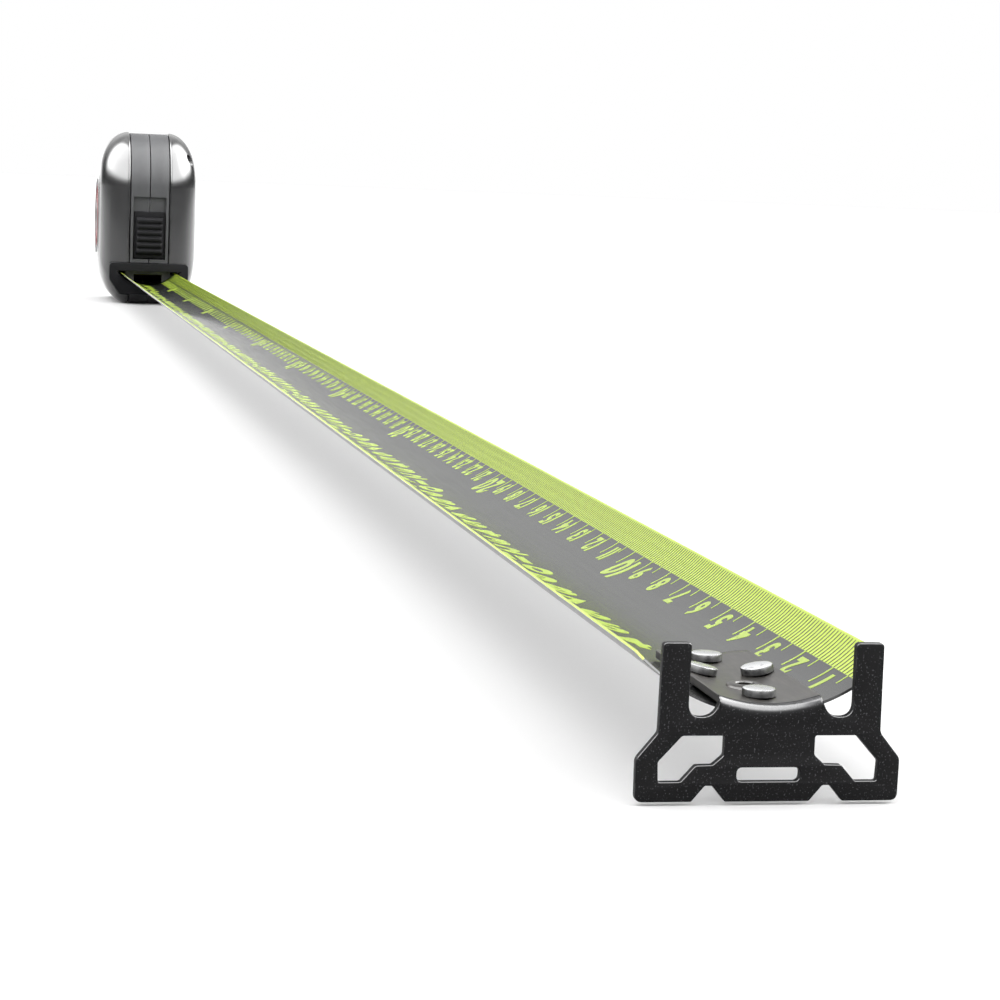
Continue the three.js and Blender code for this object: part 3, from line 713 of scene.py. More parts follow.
class Maker:
    """Collects points and faces in millimetres and turns them into an object in metres."""

    def __init__(self) -> None:
        """Starts empty."""
        self.points: list[Point] = []
        self.faces: list[Face] = []

    def add(self, points: Iterable[Point], faces: Iterable[Face]) -> None:
        """Adds a group of points and the faces between them.

        Args:
            points: The points.
            faces: Faces that count from the group's first point.
        """
        start = len(self.points)
        self.points.extend(points)
        self.faces.extend(tuple(start + i for i in face) for face in faces)

    def loft(self, rings: Sequence[Sequence[Point]], tips: tuple[Point | None, Point | None]) -> None:
        """Adds a closed skin through rings of equal length.

        Args:
            rings: The rings, in order.
            tips: The points that close the two ends, or None for a flat end.
        """
        count = len(rings[0])
        points = [point for ring in rings for point in ring]
        faces: list[Face] = []
        for ring in range(len(rings) - 1):
            for i in range(count):
                here, there, after = ring * count, (ring + 1) * count, (i + 1) % count
                faces.append((here + i, here + after, there + after, there + i))
        for tip, first, turn in ((tips[0], 0, -1), (tips[1], (len(rings) - 1) * count, 1)):
            loop = [first + i for i in range(count)][::turn]
            if tip is None:
                faces.append(tuple(loop))
                continue
            points.append(tip)
            closing = len(points) - 1
            faces.extend((loop[i], loop[(i + 1) % count], closing) for i in range(count))
        self.add(points, faces)

    def prism(self, outline: Sequence[Flat], low: float, high: float, axis: Axis = Axis.Y) -> None:
        """Adds an outline carried along an axis.

        Args:
            outline: The outline in the two other directions, X before Y before Z.
            low: Where it starts.
            high: Where it ends.
            axis: The axis.
        """
        rings = [[with_axis(axis, depth, u, v) for u, v in outline] for depth in (low, high)]
        self.loft(rings, (None, None))

    def build(self, name: str, sharp: float = 32.0) -> bpy.types.Object:
        """Makes the object, with its faces turned outwards.

        Args:
            name: The object's name.
            sharp: Edges that turn by more degrees than this stay sharp.

        Returns:
            The object.
        """
        mesh = bpy.data.meshes.new(name)
        mesh.from_pydata([Vector(point) * MM for point in self.points], [], self.faces)
        made = bpy.data.objects.new(name, mesh)
        bpy.context.scene.collection.objects.link(made)
        tidy(made, sharp)
        return made


def with_axis(axis: Axis, depth: float, u: float, v: float) -> Point:
    """A point from its place along an axis and in the two other directions.

    Args:
        axis: The axis.
        depth: The place along it.
        u: The first of the other two coordinates.
        v: The second.

    Returns:
        The point.
    """
    x, y, z = [(depth, u, v), (u, depth, v), (u, v, depth)][axis.value]
    return x, y, z


def tidy(piece: bpy.types.Object, sharp: float) -> None:
    """Merges doubled points, turns faces outwards and shades smooth up to an angle.

    Args:
        piece: The mesh object.
        sharp: The angle in degrees.
    """
    work = bmesh.new()
    work.from_mesh(piece.data)
    bmesh.ops.remove_doubles(work, verts=work.verts, dist=0.0004 * MM)
    bmesh.ops.recalc_face_normals(work, faces=work.faces)
    work.to_mesh(piece.data)
    work.free()
    piece.data.shade_smooth()
    piece.data.set_sharp_from_angle(angle=math.radians(sharp))


def settle(piece: bpy.types.Object, sharp: float = 32.0) -> None:
    """Turns a piece's modifiers into mesh.

    Args:
        piece: The object.
        sharp: The shading angle in degrees.
    """
    depsgraph = bpy.context.evaluated_depsgraph_get()
    mesh = bpy.data.meshes.new_from_object(piece.evaluated_get(depsgraph))
    piece.modifiers.clear()
    piece.data = mesh
    tidy(piece, sharp)


def combine(piece: bpy.types.Object, tools: Sequence[bpy.types.Object], how: Join) -> None:
    """Joins tools to a piece or cuts them out of it, and removes the tools.

    Args:
        piece: The piece.
        tools: The tools.
        how: Whether they are added or cut.
    """
    for tool in tools:
        modifier = piece.modifiers.new("combine", "BOOLEAN")
        modifier.operation = how.value
        modifier.solver = "EXACT"
        modifier.object = tool
    settle(piece)
    for tool in tools:
        bpy.data.objects.remove(tool)


def soften(piece: bpy.types.Object, width: float, segments: int = 3, angle: float = 40.0) -> None:
    """Rounds a piece's sharp edges.

    Args:
        piece: The piece.
        width: How far the rounding reaches, in millimetres.
        segments: Its steps.
        angle: Edges that turn by more degrees than this are rounded.
    """
    modifier = piece.modifiers.new("soften", "BEVEL")
    modifier.width = width * MM
    modifier.segments = segments
    modifier.limit_method = "ANGLE"
    modifier.angle_limit = math.radians(angle)
    settle(piece, 28.0)


def block(x: Flat, y: Flat, z: Flat, name: str = "block") -> bpy.types.Object:
    """A block between two limits along each axis.

    Args:
        x: The limits along X.
        y: The limits along Y.
        z: The limits along Z.
        name: The object's name.

    Returns:
        The block.
    """
    maker = Maker()
    maker.prism([(x[0], z[0]), (x[1], z[0]), (x[1], z[1]), (x[0], z[1])], y[0], y[1])
    return maker.build(name)


def circle(radius: float, centre: Flat, sides: int = 64) -> list[Flat]:
    """Points round a circle.

    Args:
        radius: The circle's radius.
        centre: Its centre.
        sides: How many points it has.

    Returns:
        The points.
    """
    turns = [2 * math.pi * i / sides for i in range(sides)]
    return [(centre[0] + radius * math.cos(a), centre[1] + radius * math.sin(a)) for a in turns]


def bar(axis: Axis, radius: float, span: Flat, centre: Flat, sides: int = 64) -> bpy.types.Object:
    """A round bar along an axis.

    Args:
        axis: The axis.
        radius: The bar's radius.
        span: Where it starts and ends.
        centre: Its centre in the two other directions.
        sides: How many sides it has.

    Returns:
        The bar.
    """
    maker = Maker()
    maker.prism(circle(radius, centre, sides), span[0], span[1], axis)
    return maker.build("bar")


def ring_bar(outer: float, inner: float, span: Flat, centre: Flat) -> bpy.types.Object:
    """A ring round an axis along X.

    Args:
        outer: The outer radius.
        inner: The inner radius.
        span: Where it starts and ends.
        centre: Its centre in Y and Z.

    Returns:
        The ring.
    """
    ring = bar(Axis.X, outer, span, centre, 96)
    combine(ring, [bar(Axis.X, inner, (span[0] - 1, span[1] + 1), centre, 96)], Join.CUT)
    return ring


def rounded(corners: Sequence[Corner], steps: int = 6) -> list[Flat]:
    """An outline through corners, each rounded by its own radius.

    Args:
        corners: Each corner's two coordinates and radius.
        steps: How many steps a rounding has.

    Returns:
        The outline.
    """
    outline: list[Flat] = []
    for i, (u, v, radius) in enumerate(corners):
        here = Vector((u, v))
        before, after = ((Vector(corners[j % len(corners)][:2]) - here).normalized() for j in (i - 1, i + 1))
        if radius == 0:
            outline.append((u, v))
            continue
        reach = radius / math.tan(before.angle(after) / 2)
        start, end = here + before * reach, here + after * reach
        for t in between(0.0, 1.0, steps):
            point = start * (1 - t) ** 2 + here * 2 * t * (1 - t) + end * t**2
            outline.append((point.x, point.y))
    return outline


def mirrored(corners: Sequence[Corner]) -> list[Corner]:
    """The same corners on the left side, in the order that keeps the outline's turn."""
    return [(-u, v, radius) for u, v, radius in reversed(corners)]


def lathe(profile: Sequence[Flat], sides: int = 64) -> list[list[Point]]:
    """Rings round the Z axis through a profile.

    Args:
        profile: Radius and height of each ring.
        sides: How many points a ring has.

    Returns:
        The rings.
    """
    return [[(u, v, height) for u, v in circle(radius, (0.0, 0.0), sides)] for radius, height in profile]


def finish_piece(
    piece: bpy.types.Object,
    body: Body,
    materials: Sequence[bpy.types.Material],
    nodes: Sequence[str] = (),
) -> bpy.types.Object:
    """Dresses a piece, sets it on its body and hides the CAD nodes that it replaces.

    Args:
        piece: The piece.
        body: The body that it rides on.
        materials: Its materials.
        nodes: The CAD nodes that it replaces.

    Returns:
        The piece.
    """
    piece.data.materials.clear()
    for material in materials:
        piece.data.materials.append(material)
    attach(piece, body.value)
    if nodes:
        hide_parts(*nodes)
    log.info("%s: %d faces on %s", piece.name, len(piece.data.polygons), body.value)
    return piece


# ---------------------------------------------------------------- the case


@dataclass(frozen=True)
class CaseForm:
    """The case's rounded form, from which shells and grips are drawn."""

    height: float
    depth: float
    half_width: float
    front_top: float = 28.0
    back_top: float = 32.0
    back_bottom: float = 14.0
    front_bottom: float = 10.0
    band: float = 9.7
    band_inset: float = 0.6
    grip: float = 3.2
    grip_side: float = 3.7
    wall: float = 2.2
    side_wall: float = 4.0
    bulge_radius: float = 24.0
    bulge_depth: float = 22.8
    boss: float = 3.4
    corner_steps: int = 16

    @property
    def shell_side(self) -> float:
        """How far the shell reaches sideways."""
        return self.half_width - self.grip_side - FIT

    @property
    def room_side(self) -> float:
        """How far the room inside the shell reaches sideways."""
        return self.shell_side - self.side_wall

    @property
    def front(self) -> float:
        """The case's front."""
        return -self.depth / 2

    def drawn_in(self, x: float, start: float, end: float) -> float:
        """How far the bulge draws the outline in.

        Args:
            x: The place across the case.
            start: Where the bulge starts.
            end: Where it ends.

        Returns:
            The inset.
        """
        widest = math.acos(1 - self.bulge_depth / self.bulge_radius)
        share = (x - start) / (end - start) * math.sin(widest)
        return self.bulge_radius * (1 - math.sqrt(max(0.0, 1 - share * share)))

    def ring(self, x: float, inset: float, least: float) -> list[Point]:
        """The side outline at one place across the case.

        Args:
            x: The place.
            inset: How far the outline is moved in.
            least: The smallest corner radius.

        Returns:
            The ring's points.
        """
        corners = [
            (1, -1, self.back_bottom, -90.0),
            (1, 1, self.back_top, 0.0),
            (-1, 1, self.front_top, 90.0),
            (-1, -1, self.front_bottom, 180.0),
        ]
        points: list[Point] = []
        for along, up, full, start in corners:
            radius = max(full - inset, least)
            y = along * (self.depth / 2 - inset - radius)
            z = self.height / 2 + up * (self.height / 2 - inset - radius)
            for degrees in between(start, start + 90, self.corner_steps):
                angle = math.radians(degrees)
                points.append((x, y + radius * math.cos(angle), z + radius * math.sin(angle)))
        return points

    def round_ring(self, x: float, radius: float) -> list[Point]:
        """A circle with one point for each point of the side outline.

        Args:
            x: The place across the case.
            radius: The circle's radius.

        Returns:
            The ring's points.
        """
        middle = self.height / 2
        points: list[Point] = []
        for _, y, z in self.ring(x, self.bulge_depth, 8.0):
            angle = math.atan2(z - middle, y)
            points.append((x, radius * math.cos(angle), middle + radius * math.sin(angle)))
        return points

    def screw_places(self, inner_end: float, screw_radius: float) -> list[Flat]:
        """Where the case screws stand, in Y and Z.

        Args:
            inner_end: Where the blade ends inside the case.
            screw_radius: The screw's radius.

        Returns:
            The four places.
        """

        def inward(radius: float) -> float:
            """How far a corner's screw stands from the outline's square corner, as a negative number."""
            return (radius - self.grip - self.wall / 2 - self.boss) * math.sqrt(0.5) - radius

        half = self.depth / 2
        room = self.grip + self.wall
        return [
            (-half - inward(self.front_top), self.height + inward(self.front_top)),
            (half + inward(self.back_top), self.height + inward(self.back_top)),
            (half + inward(self.back_bottom), -inward(self.back_bottom)),
            (inner_end + 2 * self.boss, room + screw_radius),
        ]


@dataclass(frozen=True)
class Trough:
    """The blade's curved section."""

    outer: float = 18.9
    thickness: float = 0.3
    half_chord: float = 14.1
    bottom: float = 9.5
    mouth_top: float = 15.9
    clearance: float = 1.2

    @property
    def centre(self) -> float:
        """Height of the trough's axis."""
        return self.bottom + self.outer

    @property
    def top(self) -> float:
        """Radius of the face that is printed."""
        return self.outer - self.thickness

    @property
    def half_arc(self) -> float:
        """Half the blade's width along its curve."""
        return math.asin(self.half_chord / self.outer) * self.top

    def at(self, across: float, along: float, lift: float = 0.0) -> Point:
        """A point on or over the printed face.

        Args:
            across: Distance from the middle, along the curve.
            along: Its Y.
            lift: How far it stands over the face.

        Returns:
            The point.
        """
        angle = across / self.top
        radius = self.top - lift
        return radius * math.sin(angle), along, self.centre - radius * math.cos(angle)

    def passage(self, low: float, high: float) -> bpy.types.Object:
        """The way out for the blade, as a cutting tool.

        Args:
            low: Where it starts along Y.
            high: Where it ends.

        Returns:
            The tool.
        """
        wide = self.outer + self.clearance
        top = self.mouth_top + self.clearance
        reach = math.acos((self.centre - top) / wide)
        turns = between(-reach, reach, 40)
        maker = Maker()
        maker.prism([(wide * math.sin(a), self.centre - wide * math.cos(a)) for a in turns], low, high)
        return maker.build("passage")


@dataclass
class Case:
    """Shells, grips, discs, screws, base pad and nose."""

    form: CaseForm
    trough: Trough
    paint: Paintbox
    spool_height: float
    lock_low: float
    lock_travel: float
    inner_end: float
    coil: float = 34.0
    coil_side: float = 15.4
    rib: float = 35.0
    screw: float = 1.3
    screw_head: float = 2.7
    screw_seat: float = 12.2
    seat_depth: float = 1.4
    seat_radius: float = 19.8
    lock_half: float = 8.3
    lock_height: float = 24.0
    stem_room: float = 6.0
    hub: float = 7.0
    hub_start: float = 16.6
    axle_hole: float = 3.8
    thread_end: float = 9.3
    lock_recess: float = 2.8
    stem_half: float = 2.6
    nose_half: float = 20.0
    nose_foot: float = 14.5
    nose_low: float = 5.0
    nose_high: float = 21.0
    lip: float = 1.0

    @property
    def screws(self) -> list[Flat]:
        """The screws' places."""
        return self.form.screw_places(self.inner_end, self.screw)

    def nose_outline(self, clearance: float) -> list[Flat]:
        """The nose's outline in X and Z.

        Args:
            clearance: How far it is grown.

        Returns:
            The outline.
        """
        foot, half = self.nose_foot + clearance, self.nose_half + clearance
        low, high = self.nose_low - clearance, self.nose_high + clearance
        waist = (low + high) / 2
        right = [(foot, low, 2.0), (half, waist, 3.0), (half, high, 2.0)]
        return rounded([*right, *mirrored(right)])

    def nose_pocket(self) -> bpy.types.Object:
        """The hole for the nose, as a cutting tool."""
        maker = Maker()
        maker.prism(self.nose_outline(FIT), self.form.front - 9, self.nose_back + FIT)
        return maker.build("nose_pocket")

    @property
    def nose_back(self) -> float:
        """Where the nose ends inside the case."""
        return self.form.front + self.form.grip + self.form.wall

    def place_side(self, piece: bpy.types.Object, side: Side) -> None:
        """Mirrors a right piece's mesh to its side.

        Args:
            piece: The piece.
            side: The side that it belongs to.
        """
        if side is Side.LEFT:
            piece.data.transform(Matrix.Scale(-1, 4, (1, 0, 0)))
            tidy(piece, 32.0)

    def shell_rings(self) -> list[list[Point]]:
        """The shell's skin from the inside of its side, round its seam, to the outside."""
        form = self.form
        room = form.grip + form.wall
        rings: list[list[Point]] = []
        for x in between(form.room_side, form.band, 10):
            rings.append(form.ring(x, room + form.drawn_in(x, form.band, form.shell_side), 4.0))
        rings.append(form.ring(FIT / 2, room, 4.0))
        stripe = [
            (FIT / 2, 0.3),
            (0.3, 0.06),
            (0.45, 0.0),
            (form.band - 0.35, 0.0),
            (form.band - 0.1, 0.1),
            (form.band, 0.35),
        ]
        rings.extend(form.ring(x, form.band_inset + extra, 4.0) for x, extra in stripe)
        for x in between(form.band, form.shell_side, 18):
            rings.append(form.ring(x, form.grip + form.drawn_in(x, form.band, form.shell_side), 5.5))
        return rings

    def make_shell(self, side: Side) -> None:
        """Builds one half of the inner shell.

        Args:
            side: Which half.
        """
        form = self.form
        middle = form.height / 2
        maker = Maker()
        maker.loft(self.shell_rings(), ((form.room_side, 0.0, middle), (form.shell_side, 0.0, middle)))
        shell = maker.build(side.node("case_shell"))
        axle = (0.0, self.spool_height)
        rib = ring_bar(self.rib + 1.4, self.rib, (FIT / 2, self.screw_seat), axle)
        combine(rib, [block((-1, 25), (form.front, 2), (0, 21))], Join.CUT)
        hub = bar(Axis.X, self.hub, (self.hub_start, form.room_side + 1), axle)
        bosses = [bar(Axis.X, form.boss, (FIT / 2, self.screw_seat), place, 32) for place in self.screws]
        combine(shell, [rib, hub, *bosses], Join.ADD)
        head = side is Side.RIGHT
        tools = [
            bar(Axis.X, self.screw + FIT, (-1, self.screw_seat if head else self.thread_end), place, 32)
            for place in self.screws
        ]
        if head:
            seat = (self.screw_seat - FIT, form.half_width)
            tools.extend(bar(Axis.X, self.screw_head + FIT, seat, place, 32) for place in self.screws)
        floor = form.front + form.band_inset + self.lock_recess
        recess_top = self.lock_low + self.lock_height + self.lock_travel + SLIDE_FIT
        slot_top = self.lock_low + self.stem_room + self.lock_travel + SLIDE_FIT
        low = self.lock_low - SLIDE_FIT
        tools.append(block((-1, self.lock_half), (form.front - 1, floor), (low, recess_top)))
        tools.append(block((-1, self.stem_half), (form.front - 1, self.nose_back + 1), (low, slot_top)))
        tools.append(bar(Axis.X, self.axle_hole, (0, form.room_side + 2), axle, 32))
        pad_low, pad_high = box_mm("base_pad")
        pad = block((-1, pad_high.x + FIT), (pad_low.y - FIT, pad_high.y + FIT), (-1, pad_high.z + FIT))
        tools.append(pad)
        tools.append(self.trough.passage(form.front - 2, self.inner_end))
        tools.append(self.nose_pocket())
        tools.append(bar(Axis.X, self.coil, (-1, self.coil_side), axle, 96))
        combine(shell, tools, Join.CUT)
        self.place_side(shell, side)
        finish_piece(shell, Body.CASE, [self.paint.shell], [side.node("shell")])

    def grip_rings(self) -> list[list[Point]]:
        """The grip's skin from the inside of its side, round its lip, to the disc's seat."""
        form = self.form
        start = form.band + FIT
        inner_side = form.shell_side + FIT
        inner_inset = form.grip - FIT
        rings: list[list[Point]] = []
        for x in between(inner_side, start, 14):
            rings.append(form.ring(x, inner_inset + form.drawn_in(x, form.band, inner_side), 5.0))
        for degrees in between(0, 90, 6):
            angle = math.radians(degrees)
            x = start + self.lip * (1 - math.cos(angle))
            extra = self.lip * (1 - math.sin(angle))
            rings.append(form.ring(x, form.drawn_in(x, start, form.half_width) + extra, 8.0))
        for x in between(start + self.lip + 0.4, form.half_width - 0.5, 26):
            rings.append(form.ring(x, form.drawn_in(x, start, form.half_width), 8.0))
        rings.append(form.ring(form.half_width - 0.15, form.bulge_depth - 0.05, 8.0))
        rings.append(form.ring(form.half_width, form.bulge_depth + 0.25, 8.0))
        seat = form.half_width - self.seat_depth
        rings.append(form.round_ring(form.half_width, self.seat_radius + 0.35))
        rings.append(form.round_ring(form.half_width - 0.12, self.seat_radius + 0.08))
        rings.append(form.round_ring(form.half_width - 0.4, self.seat_radius))
        rings.append(form.round_ring(seat, self.seat_radius))
        return rings

    def make_grip(self, side: Side) -> None:
        """Builds one grip.

        Args:
            side: Which side's.
        """
        form = self.form
        middle = form.height / 2
        inner_side = form.shell_side + FIT
        maker = Maker()
        tips = ((inner_side, 0.0, middle), (form.half_width - self.seat_depth, 0.0, middle))
        maker.loft(self.grip_rings(), tips)
        grip = maker.build(side.node("case_grip"))
        tools = [self.nose_pocket()]
        if side is Side.RIGHT:
            span = (0.0, form.half_width + 1)
            tools.extend(bar(Axis.X, self.screw_head + FIT, span, place, 48) for place in self.screws)
        combine(grip, tools, Join.CUT)
        self.place_side(grip, side)
        finish_piece(grip, Body.CASE, [self.paint.grip], [side.node("grip")])

    def make_disc(self, side: Side) -> None:
        """Builds one label disc with a raised rim, a raised hub and dial marks.

        Args:
            side: Which side's.
        """
        low, high = box_mm(side.node("label_disc"))
        radius = (high.y - low.y) / 2
        middle = (low.z + high.z) / 2
        thick = high.x - low.x
        inner = min(abs(low.x), abs(high.x))
        profile = [
            (radius - 0.1, 0.0),
            (radius, 0.1),
            (radius, thick - 0.35),
            (radius - 0.12, thick - 0.1),
            (radius - 0.4, thick),
            (17.6, thick),
            (17.45, thick - 0.25),
            (17.3, thick - 0.3),
            (9.0, thick - 0.3),
            (8.8, thick - 0.25),
            (8.5, thick - 0.02),
            (8.2, thick),
            (4.0, thick),
            (3.8, thick - 0.2),
        ]
        rings = [[(inner + x, y, z + middle) for z, y, x in ring] for ring in lathe(profile, 96)]
        maker = Maker()
        maker.loft(rings, ((inner, 0.0, middle), (inner + thick - 0.2, 0.0, middle)))
        marks = 24
        face = inner + thick - 0.32
        for i in range(marks):
            turn = 2 * math.pi * i / marks
            reach = 12.4 if i % 2 else 10.6
            out, wide = Vector((math.cos(turn), math.sin(turn))), Vector((-math.sin(turn), math.cos(turn)))
            corners = [
                out * reach - wide * 0.22,
                out * 15.6 - wide * 0.42,
                out * 15.6 + wide * 0.42,
                out * reach + wide * 0.22,
            ]
            maker.prism([(c.x, c.y + middle) for c in corners], face, face + 0.14, Axis.X)
        disc = maker.build(side.node("case_disc"))
        self.place_side(disc, side)
        finish_piece(disc, Body.CASE, [self.paint.label], [side.node("label_disc")])

    def make_screws(self) -> None:
        """Builds the case screws with pan heads and cross recesses."""
        for number, (y, z) in enumerate(self.screws, 1):
            node = f"case_screw_{number}"
            low, high = box_mm(node)
            seat, end = self.screw_seat, high.x
            profile = [
                (0.5, low.x),
                (self.screw, low.x + 1.2),
                (self.screw, seat),
                (self.screw_head - 0.1, seat),
                (self.screw_head, seat + 0.15),
                (self.screw_head, end - 0.9),
                (self.screw_head - 0.4, end - 0.25),
                (self.screw_head - 1.1, end),
            ]
            rings = [[(x, y + u, z + v) for u, v, x in ring] for ring in lathe(profile, 40)]
            maker = Maker()
            maker.loft(rings, ((low.x, y, z), (end, y, z)))
            screw = maker.build(f"cross_screw_{number}")
            arm, thin = 1.5, 0.32
            depth = (end - 1.1, end + 1)
            cross = [
                block(depth, (y - arm, y + arm), (z - thin, z + thin)),
                block(depth, (y - thin, y + thin), (z - arm, z + arm)),
            ]
            combine(screw, cross, Join.CUT)
            finish_piece(screw, Body.CASE, [self.paint.plated], [node])

    def make_base_pad(self) -> None:
        """Builds the base pad with cross grooves underneath."""
        low, high = box_mm("base_pad")
        pad = block((low.x, high.x), (low.y, high.y), (low.z, high.z), "case_base_pad")
        grooves = 8
        pitch = (high.y - low.y) / (grooves + 1)
        tools = []
        for i in range(1, grooves + 1):
            y = low.y + pitch * i
            tools.append(block((low.x + 1.5, high.x - 1.5), (y - 0.7, y + 0.7), (low.z - 1, low.z + 0.6)))
        combine(pad, tools, Join.CUT)
        soften(pad, 0.25, 2)
        finish_piece(pad, Body.CASE, [self.paint.rubber], ["base_pad"])

    def make_nose(self) -> None:
        """Builds the nose round the blade's mouth."""
        low, _ = box_mm("front_bumper")
        maker = Maker()
        maker.prism(self.nose_outline(0.0), low.y, self.nose_back)
        nose = maker.build("case_nose")
        combine(nose, [self.trough.passage(low.y - 1, self.nose_back + 1)], Join.CUT)
        soften(nose, 0.55, 4, 50.0)
        finish_piece(nose, Body.CASE, [self.paint.rubber], ["front_bumper"])

    def build(self) -> None:
        """Builds every piece of the case."""
        for side in Side:
            self.make_shell(side)
            self.make_grip(side)
            self.make_disc(side)
        self.make_screws()
        self.make_base_pad()
        self.make_nose()


@dataclass
class ThumbLock:
    """The thumb lock: plate, ribbed and rounded pad, stem and foot."""

    paint: Paintbox
    front: float
    nose_back: float
    shoe_top: float = 19.6
    plate_thick: float = 1.9
    half: float = 7.9
    pad_half: float = 7.0
    edge: float = 1.5
    ridges: int = 5
    groove: float = 0.95
    pad_from_bottom: float = 2.0
    pad_from_top: float = 3.0
    pad_root: float = 0.6
    stem_half: float = 2.2
    stem_low: float = 3.9
    stem_high: float = 9.5
    foot_half: float = 5.0
    foot_thick: float = 3.4
    foot_high: float = 7.1

    def pad_height(self, x: float, z: float, low: float, high: float, stand_out: float) -> float:
        """How far the pad stands out of the plate at one place.

        Args:
            x: The place across.
            z: The place up the pad.
            low: The pad's lower end.
            high: Its upper end.
            stand_out: The most that it stands out.

        Returns:
            The height over the plate.
        """

        def fall(distance: float) -> float:
            """The rounding near an end, from 0 at the end to 1 well inside."""
            near = max(0.0, 1 - distance / self.edge)
            return math.sqrt(max(0.0, 1 - near * near))

        rounding = fall(self.pad_half - abs(x)) * fall(min(z - low, high - z))
        pitch = (high - low) / (self.ridges + 1)
        phase = (z - low) / pitch
        near_ends = min(1.0, max(0.0, min(phase, self.ridges + 1 - phase) - 0.5) * 2)
        wave = (0.5 + 0.5 * math.cos(2 * math.pi * phase)) ** 2
        inside = fall(max(0.0, self.pad_half - 0.5 - abs(x)))
        return rounding * (stand_out - self.groove * wave * near_ends * inside)

    def build(self) -> None:
        """Builds the lock."""
        low, high = box_mm("lock_slide")
        plate_front = self.front + CaseForm.band_inset + Case.lock_recess - FIT - self.plate_thick
        plate_back = plate_front + self.plate_thick
        bottom = high.z - Case.lock_height
        pad_low, pad_high = bottom + self.pad_from_bottom, high.z - self.pad_from_top
        plate = block((-self.half, self.half), (plate_front, plate_back), (bottom, high.z), "thumb_lock")
        soften(plate, 0.4, 3)
        columns = between(-self.pad_half, self.pad_half, 36)
        rows = between(pad_low, pad_high, 120)
        stand_out = plate_front - low.y
        points = [
            (x, plate_front - self.pad_height(x, z, pad_low, pad_high, stand_out), z)
            for z in rows
            for x in columns
        ]
        back = [(x, plate_front + self.pad_root, z) for z in rows for x in columns]
        wide, tall = len(columns), len(rows)
        cells = [(r * wide + c, r * wide + c + 1) for r in range(tall - 1) for c in range(wide - 1)]
        front_faces: list[Face] = [(a, b, b + wide, a + wide) for a, b in cells]
        count = wide * tall
        back_faces: list[Face] = [tuple(count + i for i in reversed(face)) for face in front_faces]
        rim = list(range(wide))
        rim += [r * wide + wide - 1 for r in range(1, tall)]
        rim += [(tall - 1) * wide + c for c in range(wide - 2, -1, -1)]
        rim += [r * wide for r in range(tall - 2, 0, -1)]
        sides: list[Face] = [
            (rim[i], rim[(i + 1) % len(rim)], count + rim[(i + 1) % len(rim)], count + rim[i])
            for i in range(len(rim))
        ]
        maker = Maker()
        maker.add(points + back, front_faces + back_faces + sides)
        pad = maker.build("pad")
        stem_heights = (low.z + self.stem_low, low.z + self.stem_high)
        stem = block((-self.stem_half, self.stem_half), (plate_back - 0.5, self.nose_back + 1), stem_heights)
        foot_depths = (self.nose_back + FIT, self.nose_back + self.foot_thick)
        foot_heights = (self.shoe_top + FIT, low.z + self.foot_high)
        foot = block((-self.foot_half, self.foot_half), foot_depths, foot_heights)
        combine(plate, [pad, stem, foot], Join.ADD)
        finish_piece(plate, Body.LOCK, [self.paint.rubber], ["lock_slide"])


# ---------------------------------------------------------------- the blade


class Digits:
    """The shapes of the ten digits, as closed slabs cut fine enough to follow the blade's curve."""

    cuts_across: tuple[float, ...] = (0.12, 0.24, 0.36, 0.48)
    cuts_along: tuple[float, ...] = (0.12, 0.24, 0.36, 0.48, 0.6)

    def __init__(self) -> None:
        """Draws each digit once."""
        self.shapes: dict[str, tuple[list[Point], list[Face]]] = {}
        for digit in "0123456789":
            self.shapes[digit] = self.draw(digit)

    def draw(self, digit: str) -> tuple[list[Point], list[Face]]:
        """Draws one digit, centred on its box and one unit tall.

        Args:
            digit: The digit.

        Returns:
            Its points and faces.
        """
        curve = bpy.data.curves.new(f"digit_{digit}", "FONT")
        curve.body = digit
        curve.resolution_u = 3
        curve.offset = 0.034
        curve.extrude = 0.5
        carrier = bpy.data.objects.new(f"digit_{digit}", curve)
        bpy.context.scene.collection.objects.link(carrier)
        depsgraph = bpy.context.evaluated_depsgraph_get()
        mesh = bpy.data.meshes.new_from_object(carrier.evaluated_get(depsgraph))
        work = bmesh.new()
        work.from_mesh(mesh)
        bmesh.ops.remove_doubles(work, verts=work.verts, dist=1e-5)
        for normal, places in (((1, 0, 0), self.cuts_across), ((0, 1, 0), self.cuts_along)):
            for place in places:
                geometry = [*work.verts, *work.edges, *work.faces]
                point = Vector(normal) * place
                bmesh.ops.bisect_plane(work, geom=geometry, plane_co=point, plane_no=normal)
        work.verts.ensure_lookup_table()
        lows = [min(v.co[i] for v in work.verts) for i in range(2)]
        highs = [max(v.co[i] for v in work.verts) for i in range(2)]
        tall = highs[1] - lows[1]
        middle = [(low + high) / 2 for low, high in zip(lows, highs)]
        points = [((v.co.x - middle[0]) / tall, (v.co.y - middle[1]) / tall, v.co.z) for v in work.verts]
        faces = [tuple(v.index for v in face.verts) for face in work.faces]
        work.free()
        bpy.data.objects.remove(carrier)
        bpy.data.curves.remove(curve)
        bpy.data.meshes.remove(mesh)
        return points, faces

    def number(self, text: str, height: float) -> tuple[list[Point], list[Face]]:
        """Sets a number in one line, centred.

        Args:
            text: The number.
            height: The digits' height.

        Returns:
            Its points and faces.
        """
        gap = 0.14
        halves = [max(x for x, _, _ in self.shapes[digit][0]) for digit in text]
        length = 2 * sum(halves) + gap * (len(text) - 1)
        points: list[Point] = []
        faces: list[Face] = []
        cursor = -length / 2
        for digit, half in zip(text, halves):
            shape, sides = self.shapes[digit]
            start = len(points)
            points.extend(((cursor + half + x) * height, y * height, z) for x, y, z in shape)
            faces.extend(tuple(start + i for i in side) for side in sides)
            cursor += 2 * half + gap
        return points, faces


